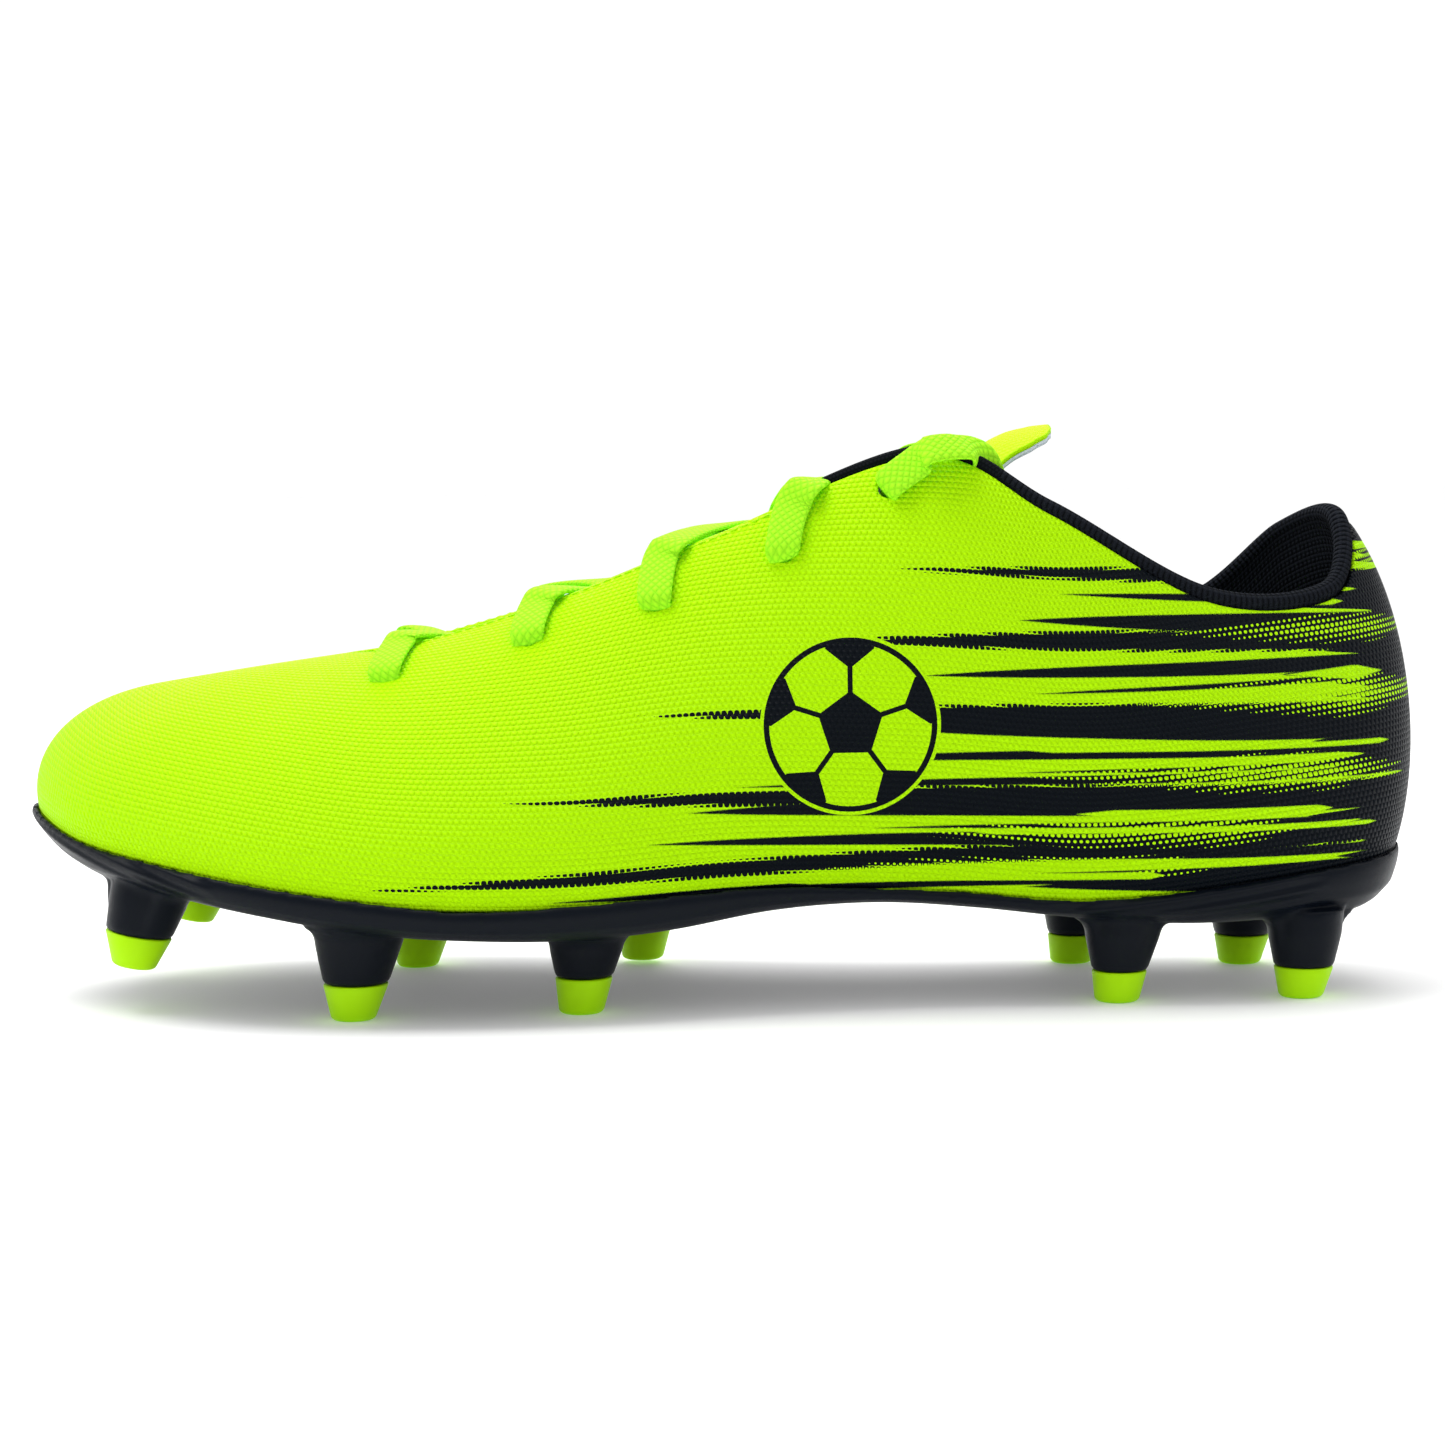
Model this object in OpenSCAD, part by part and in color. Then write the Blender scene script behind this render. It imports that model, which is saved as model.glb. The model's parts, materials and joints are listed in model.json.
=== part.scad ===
// Moulded-stud football boot for firm ground, left foot.
// The toe points along -X, the outer (lateral) side faces -Y, and the ball and heel studs stand on z = 0.
// Every outline is drawn for a boot 286 mm long, and the finished piece is scaled to boot_length.

/* [Size] */
// Overall length of the boot in millimetres
boot_length = 286; // [255:1:310]

/* [Upper] */
// Thickness of the coated outer material
skin_t = 1.2; // [0.8:0.1:1.6]
// Thickness of the textile lining
lining_t = 0.8; // [0.5:0.1:1]
// Greatest thickness of the foam in the heel collar
foam_t = 4.4; // [2:0.2:5]
// Radius of a punched lace hole
eyelet_r = 2.3; // [1.8:0.1:3]

/* [Sole] */
// Thickness of the board the upper is lasted on
board_t = 1.5; // [1:0.1:1.8]
// Radius of a stud tip where it meets the ground
tip_r = 4.6; // [4:0.1:5.4]
// Thickness of the loose insole
insole_t = 4; // [2.5:0.1:4.4]

/* [Tongue] */
// Thickness of the tongue's coated face
tongue_face_t = 1; // [0.7:0.1:1.4]
// Thickness of the tongue's foam and textile back
tongue_pad_t = 2; // [1:0.1:2.4]

/* [Lace] */
// Radius of the lace, taken as a round cord
lace_r = 1.1; // [0.8:0.1:1.4]

/* [Hidden] */
STUDS = ["stud_tip_lateral_1", "stud_tip_lateral_2", "stud_tip_lateral_3", "stud_tip_lateral_4",
         "stud_tip_lateral_5", "stud_tip_medial_1", "stud_tip_medial_2", "stud_tip_medial_3",
         "stud_tip_medial_4", "stud_tip_medial_5"];

drawn_length = 286;
neon = [0.78, 1, 0];
sole_black = [0.03, 0.05, 0.08];
mesh_black = [0.06, 0.07, 0.09];
white = [0.9, 0.93, 0.94];

// ---------- heights along the sole ----------
// Height of the plate's upper edge, every 20 mm from x = -150 to x = 150
EDGE_Z = [41, 34.8, 31.2, 28, 25.3, 23.1, 23.6, 24.7, 25.5, 24.6, 23.3, 21.6, 23, 25.4, 27.6, 30];
// Height of the plate's floor inside the boot at the same places
BED_Z = [38.6, 30.5, 27.2, 24, 21, 19, 19.2, 20.6, 22.8, 23, 21.7, 19.8, 19, 19.5, 20.5, 23];
// Height of the plate's underside at the same places
UNDER_Z = [36, 27.6, 24.4, 21.1, 18, 16.4, 15.8, 17, 20, 20.9, 19.5, 17.3, 15.8, 16, 16.5, 20];
knot_step = 20;
first_knot = -150;

// ---------- ribs of the upper ----------
// Each rib is a cubic curve up the outside of the boot: [foot on the plate, lower handle,
// upper handle, top]. They run from the heel's centre along the outer side to the toe (rib 10)
// and back along the inner side. A foot is [x, y]; its height comes from EDGE_Z.
RIBS = [
    [[139, 3], [145.5, 2, 47], [142, 1, 78], [129.5, 1, 95.3]],
    [[131, -17], [135, -22, 45], [130, -19.5, 64], [124, -16, 80.5]],
    [[105, -29], [105, -36, 44], [101, -32, 62], [97, -28, 79.8]],
    [[73, -31], [72, -38, 45], [68, -33, 80], [65, -29, 97.5]],
    [[37, -31], [37, -39, 52], [39, -32, 96], [40, -23, 109.4]],
    [[3, -37], [2, -44, 50], [-3, -30, 86], [-2, -17, 94]],
    [[-30, -46], [-32, -52, 46], [-37, -28, 76], [-35, -13, 81]],
    [[-66, -49], [-67, -55, 43], [-66, -25, 69.5], [-64, -9, 72.3]],
    [[-100, -42], [-103, -47, 46], [-83, -19, 69.4], [-77, 1, 70.2]],
    [[-128, -23], [-134, -28, 48], [-109, -15, 66.3], [-95, 2, 67.6]],
    [[-142.3, 5], [-146, 5, 52], [-133, 4, 62.8], [-112.5, 3, 64.8]],
    [[-130, 27], [-136, 32, 48], [-109, 19, 66.3], [-95, 2, 67.6]],
    [[-104, 39], [-107, 44, 46], [-83, 21, 69.4], [-77, 1, 70.2]],
    [[-70, 43], [-71, 48, 44], [-66, 27, 69.5], [-64, 11, 72.3]],
    [[-32, 39], [-34, 45, 48], [-37, 29, 76.5], [-35, 15, 80.6]],
    [[3, 32], [2, 40, 52], [-3, 31, 86], [-2, 19, 93]],
    [[37, 28], [37, 37, 54], [39, 33, 96], [40, 25, 108.4]],
    [[73, 30], [72, 37, 47], [68, 34, 78], [65, 30, 95.5]],
    [[105, 31], [105, 37, 43], [101, 33, 60], [97, 29, 76]],
    [[131, 20], [135, 24, 45], [127, 23, 68], [120, 19, 91.6]]
];
ribs = len(RIBS);
toe_rib = 10;
// Ribs within this distance of the toe rib meet on the centre line, ahead of the throat
closed_ribs = 2;
// The foot of the upper stands this far below the plate's upper edge
foot_drop = 1.2;

// ---------- layers, as depths below the outer surface ----------
stiffener_out = skin_t + 0.1;
stiffener_t = 0.7;
lining_out = stiffener_out + stiffener_t + 0.1;
lining_in = lining_out + lining_t;

// ---------- lace holes: [rib position, share of the rib's height] ----------
EYELETS = [[7.08, 0.77], [6.09, 0.79], [5.31, 0.77], [4.65, 0.79], [4.17, 0.89]];

// ---------- studs: [x, y, height of the tip's face, forward lean, height of the coloured tip] ----------
STUD_PLACES = [
    [-118.4, -24, 9.2, 11, 6.8], [-73.2, -35, 0, 0, 7.2], [-28.6, -30, 0, 0, 7.2],
    [78.5, -23, 0, 0, 6.3], [116, -20, 0, 0, 6.3],
    [-115, 25, 11.5, 11, 6.8], [-67, 30, 0, 0, 7.2], [-18, 31, 1, 0, 7.2],
    [75, 26, 0, 0, 6.3], [111, 23, 0, 0, 6.3]
];
// Radius of each stud where black meets colour
STUD_JOINT_R = [6.7, 6.5, 5.8, 5.6, 6, 6.7, 6.5, 5.8, 5.6, 6];
core_r = 3;
core_h = 3.5;
core_gap = 0.05;

// ---------- tongue: height of its centre line ----------
TONGUE_X = [-88, -74, -62, -49, -34, -18, -1, 20, 33, 42, 50, 57, 62.5, 66, 67.3];
TONGUE_Z = [62.6, 64.6, 67.4, 71.6, 77.4, 84.5, 92.2, 100.4, 104.3, 106.4, 109.4, 113.4, 115, 115.5, 115.6];
TONGUE_HALF_WIDTH = [9, 12, 16, 19, 20, 20, 20.2, 21.5, 22.5, 22.5, 20.4, 16.6, 13.7, 10.6, 7];
// How sharply it arches across: drop in mm per mm squared from the centre line
TONGUE_ARCH = [0.02, 0.02, 0.02, 0.0175, 0.0185, 0.0195, 0.021, 0.019, 0.0175, 0.0175, 0.0178, 0.0178,
               0.0178, 0.0178, 0.0178];
hinge_x = 50;
hinge_gap = 0.5;

// ---------- lace tails, inside the boot: down past the tongue, then along the insole ----------
DROP_LATERAL = [[42, -25.6, 112], [48.5, -25, 112], [53.8, -22.4, 109.6], [57, -20.4, 103], [58.5, -20, 92],
                [60, -20, 80], [62, -20.5, 62], [64, -20, 44], [68, -18.5, 32]];
LIE_LATERAL = [[76, -16.5], [88, -13.5], [99, -9], [105, -2], [103, 5], [94, 9], [78, 9.5], [60, 9],
               [42, 7], [24, 5], [6, 3], [-10, 1.5], [-26, 0.5]];
DROP_MEDIAL = [[42, 27.6, 111], [48.5, 27, 111], [53.8, 24, 108.7], [57, 21.6, 102], [58, 21.4, 91],
               [58.5, 21.5, 80], [57.5, 21.5, 62], [55, 21, 45], [51, 20, 34]];
LIE_MEDIAL = [[41, 19], [22, 18], [2, 18], [-20, 19], [-42, 18], [-60, 15], [-73, 8], [-76, -2],
              [-68, -11], [-52, -15], [-36, -16], [-20, -16.5], [-4, -16]];
aglet_l = 16;
aglet_r = 1.5;

// ---------- curves ----------
function cr(a, b, c, d, t) =
    0.5 * (2 * b + (c - a) * t + (2 * a - 5 * b + 4 * c - d) * t * t + (3 * b - a - 3 * c + d) * t * t * t);
function unit(v) = v / norm(v);
function clamp(x, lo, hi) = min(max(x, lo), hi);
function snap(p) = [round(p.x * 1e4) / 1e4, round(p.y * 1e4) / 1e4, round(p.z * 1e4) / 1e4];
function along(list, x) =
    let (last = len(list) - 1, s = clamp((x - first_knot) / knot_step, 0, last - 0.001), i = floor(s))
    cr(list[max(i - 1, 0)], list[i], list[i + 1], list[min(i + 2, last)], s - i);
function edge_z(x) = along(EDGE_Z, x);
function under_z(x) = along(UNDER_Z, x);
function bed_z(x) = along(BED_Z, x);
function board_top(x) = bed_z(x) + 0.15 + board_t;
function insole_top(x) = board_top(x) + 0.1 + insole_t;
function wrap(i) = (i + 2 * ribs) % ribs;
function rib_point(i, k) =
    let (p = RIBS[wrap(i)][k])
    k == 0 ? [p.x, p.y, edge_z(p.x) - foot_drop] : p;
function rail(u, k) =
    let (i = floor(u), t = u - i)
    cr(rib_point(i - 1, k), rib_point(i, k), rib_point(i + 1, k), rib_point(i + 2, k), t);
function is_closed(u) = abs(u - toe_rib) <= closed_ribs + 1e-6;
function centre_line(s) =
    let (a = RIBS[toe_rib][3], b = RIBS[toe_rib + 1][3], c = RIBS[toe_rib + 2][3])
    s < 1 ? cr(b, a, b, c, s) : cr(a, b, c, 2 * c - b, s - 1);
function top_rail(u) =
    is_closed(u) ? centre_line(round(abs(u - toe_rib) * 1e6) / 1e6)
    : u < toe_rib && u > toe_rib - closed_ribs - 1 ? throat_end(u, -1)
    : u > toe_rib && u < toe_rib + closed_ribs + 1 ? throat_end(u, 1)
    : rail(u, 3);
// The throat's front end, from the side ribs to the centre line, with a square start at the centre
function throat_end(u, side) =
    let (n = toe_rib + side * closed_ribs, t = abs(u - n),
         a = RIBS[n][3], b = RIBS[n + side][3], c = RIBS[n + 2 * side][3])
    cr([a.x - 4, a.y - side * 14, a.z - 1], a, b, c, t);
function skin(u, v) =
    let (w = 1 - v)
    w * w * w * rail(u, 0) + 3 * w * w * v * rail(u, 1) + 3 * w * v * v * rail(u, 2)
    + v * v * v * top_rail(u);
function skin_normal(u, v) =
    let (e = 0.02, vv = clamp(v, e, 1 - e))
    is_closed(u) && v > 0.999
    ? let (s = abs(u - toe_rib), d = centre_line(min(s + e, 2)) - centre_line(max(s - e, 0)))
      unit([-d.z, 0, d.x])
    : unit(cross(skin(u, vv + e) - skin(u, vv - e), skin(u + e, vv) - skin(u - e, vv)));
function layer(u, v, depth) = skin(u, v) - depth * skin_normal(u, v);
function foot_normal(u) =
    let (e = 0.02, t = rail(u + e, 0) - rail(u - e, 0))
    unit([-t.y, t.x, 0]);
function steps(a, b, n) = [for (i = [0 : n]) a + (b - a) * i / n];

// ---------- solids ----------
function quad(a, b, c, d) = [[a, b, c], [a, c, d]];
// A slab between two depths below the skin. us and vs list where it is cut; a ring closes on itself.
module slab(us, vs, outer, inner, ring = false) {
    nu = len(us);
    nv = len(vs);
    side = nu * nv;
    points = [for (depth = [outer, inner]) for (u = us) for (v = vs) snap(layer(u, v, depth(u, v)))];
    function at(s, i, j) = s * side + (i % nu) * nv + j;
    function joined(i) = is_closed(us[i % nu]) && is_closed(us[(i + 1) % nu]) && vs[nv - 1] > 0.999;
    last = ring ? nu - 1 : nu - 2;
    faces = [
        for (i = [0 : last]) for (j = [0 : nv - 2])
            each quad(at(0, i, j), at(0, i, j + 1), at(0, i + 1, j + 1), at(0, i + 1, j)),
        for (i = [0 : last]) for (j = [0 : nv - 2])
            each quad(at(1, i, j), at(1, i + 1, j), at(1, i + 1, j + 1), at(1, i, j + 1)),
        for (i = [0 : last]) each quad(at(0, i, 0), at(0, i + 1, 0), at(1, i + 1, 0), at(1, i, 0)),
        for (i = [0 : last]) if (!joined(i))
            each quad(at(1, i, nv - 1), at(1, i + 1, nv - 1), at(0, i + 1, nv - 1), at(0, i, nv - 1)),
        for (j = [0 : nv - 2]) if (!ring) each quad(at(1, 0, j), at(1, 0, j + 1), at(0, 0, j + 1), at(0, 0, j)),
        for (j = [0 : nv - 2]) if (!ring)
            each quad(at(0, nu - 1, j), at(0, nu - 1, j + 1), at(1, nu - 1, j + 1), at(1, nu - 1, j))
    ];
    polyhedron(points, faces, convexity = 6);
}

// A flat piece that fills the foot outline. rows lists [offset outwards, height over the drawn
// heights] from the middle of the top, out round the edge, to the middle of the underside.
module disc(rows, columns = 64) {
    n = len(rows);
    us = [for (j = [0 : columns - 1]) round(ribs * j / columns * 1e6) / 1e6];
    function spine(u, height) =
        let (a = rail(u, 0), b = rail(ribs - u, 0), x = 0.74 * (a.x + b.x) / 2)
        [x, (a.y + b.y) / 2, height(x)];
    function rim(u, offset, height) =
        let (p = rail(u, 0) + offset(u) * foot_normal(u))
        [p.x, p.y, height(p.x)];
    points = [for (i = [0 : n - 1]) for (u = us)
        snap(i == 0 || i == n - 1 ? spine(u, rows[i][1]) : rim(u, rows[i][0], rows[i][1]))];
    // The top and the underside are split along the same diagonals, so that stacked pieces lie flat
    faces = [for (i = [0 : n - 2]) for (j = [0 : columns - 1])
        let (k = (j + 1) % columns, a = i * columns, b = a + columns)
        each i < n / 2 ? quad(a + k, a + j, b + j, b + k) : quad(a + j, b + j, b + k, a + k)];
    polyhedron(points, faces, convexity = 6);
}

// Frames carried along a path without twist: [normal, binormal] at each point
function tangents(path) =
    [for (i = [0 : len(path) - 1]) unit(path[min(i + 1, len(path) - 1)] - path[max(i - 1, 0)])];
function carry(t, n) = unit(n - (n * t) * t);
function normals(ts, i, n) =
    i >= len(ts) ? [] : let (m = carry(ts[i], n)) concat([m], normals(ts, i + 1, m));
module tube(path, radius, sides = 8, start = [0.1, 0.2, 1]) {
    ts = tangents(path);
    ns = normals(ts, 0, carry(ts[0], start));
    rings = len(path);
    points = [for (i = [0 : rings - 1]) let (b = cross(ts[i], ns[i])) for (j = [0 : sides - 1])
        let (a = 360 * j / sides) path[i] + radius(i / (rings - 1)) * (cos(a) * ns[i] + sin(a) * b)];
    faces = [
        for (i = [0 : rings - 2]) for (j = [0 : sides - 1])
            let (k = (j + 1) % sides)
            each quad(i * sides + j, (i + 1) * sides + j, (i + 1) * sides + k, i * sides + k),
        [for (j = [0 : sides - 1]) j],
        [for (j = [0 : sides - 1]) (rings - 1) * sides + sides - 1 - j]
    ];
    polyhedron(points, faces, convexity = 10);
}

// ---------- upper ----------
// All layers are cut at the same places, so that their facets lie parallel: u at quarters of a rib
// spacing, v at twelfths of a rib's height
function around(a, b, n) = [for (u = steps(a, b, n)) round(u * 1e6) / 1e6];
function quarters(a, b) = [for (j = [ceil(4 * a) : floor(4 * b)]) j / 4];
function twelfths(a, b) = [for (j = [a : b]) j / 12];
RING = quarters(0, 19.75);
// A drill through all the layers at one lace hole; side -1 is the outer side
module eyelet_drill(i, side) {
    u = side < 0 ? EYELETS[i][0] : ribs - EYELETS[i][0];
    v = EYELETS[i][1];
    p = skin(u, v);
    n = skin_normal(u, v);
    translate(p) rotate([0, acos(n.z), atan2(n.y, n.x)]) translate([0, 0, -6])
        cylinder(h = 10, r = eyelet_r, $fn = 20);
}
module eyelet_drills(side) for (i = [0 : len(EYELETS) - 1]) eyelet_drill(i, side);
module upper() {
    color(neon) difference() {
        slab(RING, twelfths(0, 12), function(u, v) 0, function(u, v) skin_t, ring = true);
        eyelet_drills(-1);
        eyelet_drills(1);
    }
}
// Thickness of the stuffing between skin and lining round the heel collar
heel_reach = 3.4;
function from_heel(u) = min(u, ribs - u);
function stuffing(u, v) =
    foam_t * pow(max(0, cos(90 * clamp(from_heel(u) / heel_reach, 0, 1))), 0.6)
    * pow(max(0, sin(180 * clamp((v - 0.5) / 0.52, 0, 1))), 0.8);
module vamp_lining() {
    color(white) difference() {
        slab(quarters(3.5, 16.5), twelfths(0, 12), function(u, v) lining_out, function(u, v) lining_in);
        eyelet_drills(-1);
        eyelet_drills(1);
    }
}
module toe_puff() {
    color(white) slab(quarters(8.25, 11.75), twelfths(1, 8), function(u, v) stiffener_out,
                      function(u, v) stiffener_out + stiffener_t);
}
module heel_counter() {
    color(white) slab(quarters(-2.75, 2.75), twelfths(1, 6), function(u, v) stiffener_out,
                      function(u, v) stiffener_out + stiffener_t);
}
module collar_foam() {
    color(white) slab(quarters(-3.25, 3.25), concat(twelfths(7, 11), [0.96]), function(u, v) stiffener_out,
                      function(u, v) stiffener_out + stiffener_t + stuffing(u, v));
}
module collar_lining() {
    color(mesh_black) slab(concat([-3.45], quarters(-3.25, 3.25), [3.45]), twelfths(0, 12),
                           function(u, v) lining_out + stuffing(u, v),
                           function(u, v) lining_in + stuffing(u, v));
}
// A roll that sits on the top edge of all the layers
roll_gap = 0.5;
function edge_up(u) = unit(skin(u, 1) - skin(u, 0.96));
function roll_line(us, r) =
    [for (u = us) let (depth = (lining_in + stuffing(u, 1)) / 2) layer(u, 1, depth) + (r(u) + roll_gap) * edge_up(u)];
function rim_r(u) = 1.5 + 0.5 * max(0, cos(90 * clamp(from_heel(u) / heel_reach, 0, 1)));
module collar_rim() {
    us = around(-3.2, 3.2, 32);
    color(mesh_black) tube(roll_line(us, function(u) rim_r(u)), function(s) rim_r(6.4 * s - 3.2), 12);
}
module topline_binding(side) {
    us = side < 0 ? around(3.26, 4.5, 14) : around(16.74, 15.5, 14);
    color(mesh_black) tube(roll_line(us, function(u) 1.5), function(s) 1.5, 10);
}
module eyestay_reinforcement(side) {
    color(white) difference() {
        slab(side < 0 ? quarters(3.75, 7.5) : quarters(12.5, 16.25), twelfths(9, 12),
             function(u, v) stiffener_out, function(u, v) stiffener_out + stiffener_t);
        eyelet_drills(side);
    }
}

// ---------- sole ----------
// The plate's lower edge is drawn in further at the toe and the heel than along the sides
function tuck(u) =
    1 + 1.5 * pow(max(0, cos(45 * clamp(abs(u - toe_rib), 0, 2))), 2)
    + 0.3 * pow(max(0, cos(60 * clamp(from_heel(u), 0, 1.5))), 2);
// How strongly a place belongs to the heel, where the plate's wall is flush with the upper
function heelness(u) = pow(max(0, cos(60 * clamp(from_heel(u), 0, 1.5))), 2);
function down(x, share) = (1 - share) * edge_z(x) + share * under_z(x);
module plate_body() {
    disc([
        [0, function(x) bed_z(x)],
        [function(u) -4.2, function(x) bed_z(x)],
        [function(u) -3.4, function(x) edge_z(x) - 1.25],
        [function(u) 0.1, function(x) edge_z(x) - 1.25],
        [function(u) 0.65, function(x) edge_z(x)],
        [function(u) 1.5 - 0.5 * heelness(u), function(x) edge_z(x) - 0.1],
        [function(u) 1.9 - 0.9 * heelness(u), function(x) edge_z(x) - 1.6],
        [function(u) 2.1 - 0.2 * tuck(u) - 1.4 * heelness(u), function(x) down(x, 0.35)],
        [function(u) 2 - 0.9 * tuck(u) - 1.4 * heelness(u), function(x) down(x, 0.62)],
        [function(u) 0.9 - 2.2 * tuck(u) - 1.4 * heelness(u), function(x) down(x, 0.85)],
        [function(u) -1.5 - 4.2 * tuck(u) - 1.4 * heelness(u), function(x) under_z(x)],
        [0, function(x) under_z(x) + 0.2]
    ]);
}
// Stands at the centre of a stud's ground face, with its axis along +Z
module at_stud(i) {
    s = STUD_PLACES[i];
    translate([s.x, s.y, s.z]) rotate([0, s[3], 0]) children();
}
stud_flare = 3.5;
// How much a black pedestal widens for each millimetre upwards
stud_taper = 0.27;
module stud_pedestal(i) {
    top = under_z(STUD_PLACES[i].x) - STUD_PLACES[i].z + 2;
    r = STUD_JOINT_R[i];
    tip_h = STUD_PLACES[i][4];
    flare_z = top - 1.6;
    wall_r = r + stud_taper * (flare_z - stud_flare - tip_h);
    at_stud(i) rotate_extrude($fn = 48) polygon(concat(
        [[0, tip_h - core_h], [core_r - core_gap, tip_h - core_h], [core_r - core_gap, tip_h], [r, tip_h]],
        [for (a = [0 : 15 : 75]) [wall_r + stud_flare * (1 - cos(a)), flare_z - stud_flare + stud_flare * sin(a)]],
        [[wall_r + stud_flare * 0.8, top], [0, top]]));
}
// The straight middle of a pedestal, as wide as its tip: the sole's outline doesn't trim it
module stud_core(i) {
    tip_h = STUD_PLACES[i][4];
    top = under_z(STUD_PLACES[i].x) - STUD_PLACES[i].z + 1;
    at_stud(i) translate([0, 0, tip_h]) cylinder(r = STUD_JOINT_R[i], h = top - tip_h, $fn = 48);
}
module outsole_plate() {
    color(sole_black) union() {
        plate_body();
        for (i = [0 : len(STUDS) - 1]) stud_core(i);
        intersection() {
            for (i = [0 : len(STUDS) - 1]) stud_pedestal(i);
            disc([[0, function(x) 30], [function(u) -1.8 - 1.5 * tuck(u), function(x) 30],
                  [function(u) -1.8 - 1.5 * tuck(u), function(x) -1], [0, function(x) -1]]);
        }
    }
}
module stud_tip(i) {
    r = STUD_JOINT_R[i];
    tip_h = STUD_PLACES[i][4];
    round_r = 1.2;
    color(neon) at_stud(i) rotate_extrude($fn = 48) polygon(concat(
        [[0, 0]],
        [for (a = [0 : 15 : 75]) [tip_r - round_r + round_r * sin(a), round_r * (1 - cos(a))]],
        [[r, tip_h - 0.02], [core_r, tip_h - 0.02], [core_r, tip_h - core_h - 0.05], [0, tip_h - core_h - 0.05]]));
}
module lasting_board() {
    color(white) disc([
        [0, function(x) board_top(x)], [function(u) -4.6, function(x) board_top(x)],
        [function(u) -4.6, function(x) board_top(x) - board_t], [0, function(x) board_top(x) - board_t]]);
}
module insole() {
    color(mesh_black) disc([
        [0, function(x) insole_top(x)],
        [function(u) -6.5, function(x) insole_top(x) + 0.1],
        [function(u) -4.6, function(x) insole_top(x) - 0.7],
        [function(u) -4.8, function(x) insole_top(x) - insole_t],
        [0, function(x) insole_top(x) - insole_t]]);
}

// ---------- tongue ----------
function between(list, x) =
    let (n = len(TONGUE_X) - 1,
         i = clamp(len([for (t = TONGUE_X) if (t <= x) t]) - 1, 0, n - 1),
         t = (x - TONGUE_X[i]) / (TONGUE_X[i + 1] - TONGUE_X[i]))
    cr(list[max(i - 1, 0)], list[i], list[i + 1], list[min(i + 2, n)], t);
function tongue_top(x, y) = between(TONGUE_Z, x) - between(TONGUE_ARCH, x) * y * y;
// A layer of the tongue between two depths, from from_x to to_x
module tongue_layer(from_x, to_x, n, outer, inner) {
    ys = steps(-1, 1, 10);
    side = (n + 1) * len(ys);
    // Towards its sides the fixed part is cut back, so that the tip can also be pushed down
    function cut(x, y) = to_x < hinge_x && x > to_x - 0.01 ? x - 1 - 0.005 * y * y : x;
    points = [for (depth = [outer, inner]) for (x = steps(from_x, to_x, n)) for (s = ys)
        let (y = s * (between(TONGUE_HALF_WIDTH, x) - 0.3 * depth), xx = cut(x, y))
        [xx, y, tongue_top(xx, y) - 1.06 * depth]];
    m = len(ys);
    function at(s, i, j) = s * side + i * m + j;
    faces = [
        for (i = [0 : n - 1]) for (j = [0 : m - 2])
            each quad(at(0, i, j), at(0, i, j + 1), at(0, i + 1, j + 1), at(0, i + 1, j)),
        for (i = [0 : n - 1]) for (j = [0 : m - 2])
            each quad(at(1, i + 1, j), at(1, i + 1, j + 1), at(1, i, j + 1), at(1, i, j)),
        for (i = [0 : n - 1]) each quad(at(0, i, 0), at(0, i + 1, 0), at(1, i + 1, 0), at(1, i, 0)),
        for (i = [0 : n - 1]) each quad(at(1, i, m - 1), at(1, i + 1, m - 1), at(0, i + 1, m - 1), at(0, i, m - 1)),
        for (j = [0 : m - 2]) each quad(at(1, 0, j), at(1, 0, j + 1), at(0, 0, j + 1), at(0, 0, j)),
        for (j = [0 : m - 2]) each quad(at(0, n, j), at(0, n, j + 1), at(1, n, j + 1), at(1, n, j))
    ];
    polyhedron(points, faces, convexity = 4);
}
tongue_start = -88;
tongue_end = 67.3;
pad_top = tongue_face_t + 0.1;
module tongue_face() {
    color(neon) tongue_layer(tongue_start, hinge_x - hinge_gap, 22, 0, tongue_face_t);
}
module tongue_padding() {
    color(white) tongue_layer(tongue_start, hinge_x - hinge_gap, 22, pad_top, pad_top + tongue_pad_t);
}
module tongue_tip_face() {
    color(neon) tongue_layer(hinge_x + hinge_gap, tongue_end, 8, 0, tongue_face_t);
}
module tongue_tip_padding() {
    color(white) tongue_layer(hinge_x + hinge_gap, tongue_end, 8, pad_top, pad_top + 0.5 * tongue_pad_t);
}

// ---------- lace ----------
function hole(i, side) = [side < 0 ? EYELETS[i][0] : ribs - EYELETS[i][0], EYELETS[i][1]];
lace_in = lining_in + lace_r + 0.1;
// From the hole at eyelet i on one side, over that edge and under the other, to the next hole there
function crossing(i, side, lift) =
    let (a = hole(i, side), b = hole(i + 1, -side),
         over = layer(a[0] + side * 0.12, 1, -0.5) + [0, 0, lace_r + 1],
         under = layer(b[0] + side * 0.1, 0.96, lace_in + 0.3),
         mid = (over + under) / 2)
    [layer(a[0], a[1], lace_in), layer(a[0], a[1], -lace_r - 0.2),
     layer(a[0] + side * 0.05, 0.93, -lace_r - 0.4), over,
     [mid.x, mid.y, tongue_top(mid.x, mid.y) + lace_r + lift], under];
function half_lace(side) = [
    for (i = [0 : 3]) each crossing(i, i % 2 == 0 ? side : -side, side < 0 ? 3.3 : 0.9),
    let (a = hole(4, side)) each [layer(a[0], a[1], lace_in), layer(a[0], a[1], -lace_r - 0.2),
                                  layer(a[0] + side * 0.04, 0.96, -lace_r - 0.4)]
];
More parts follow.
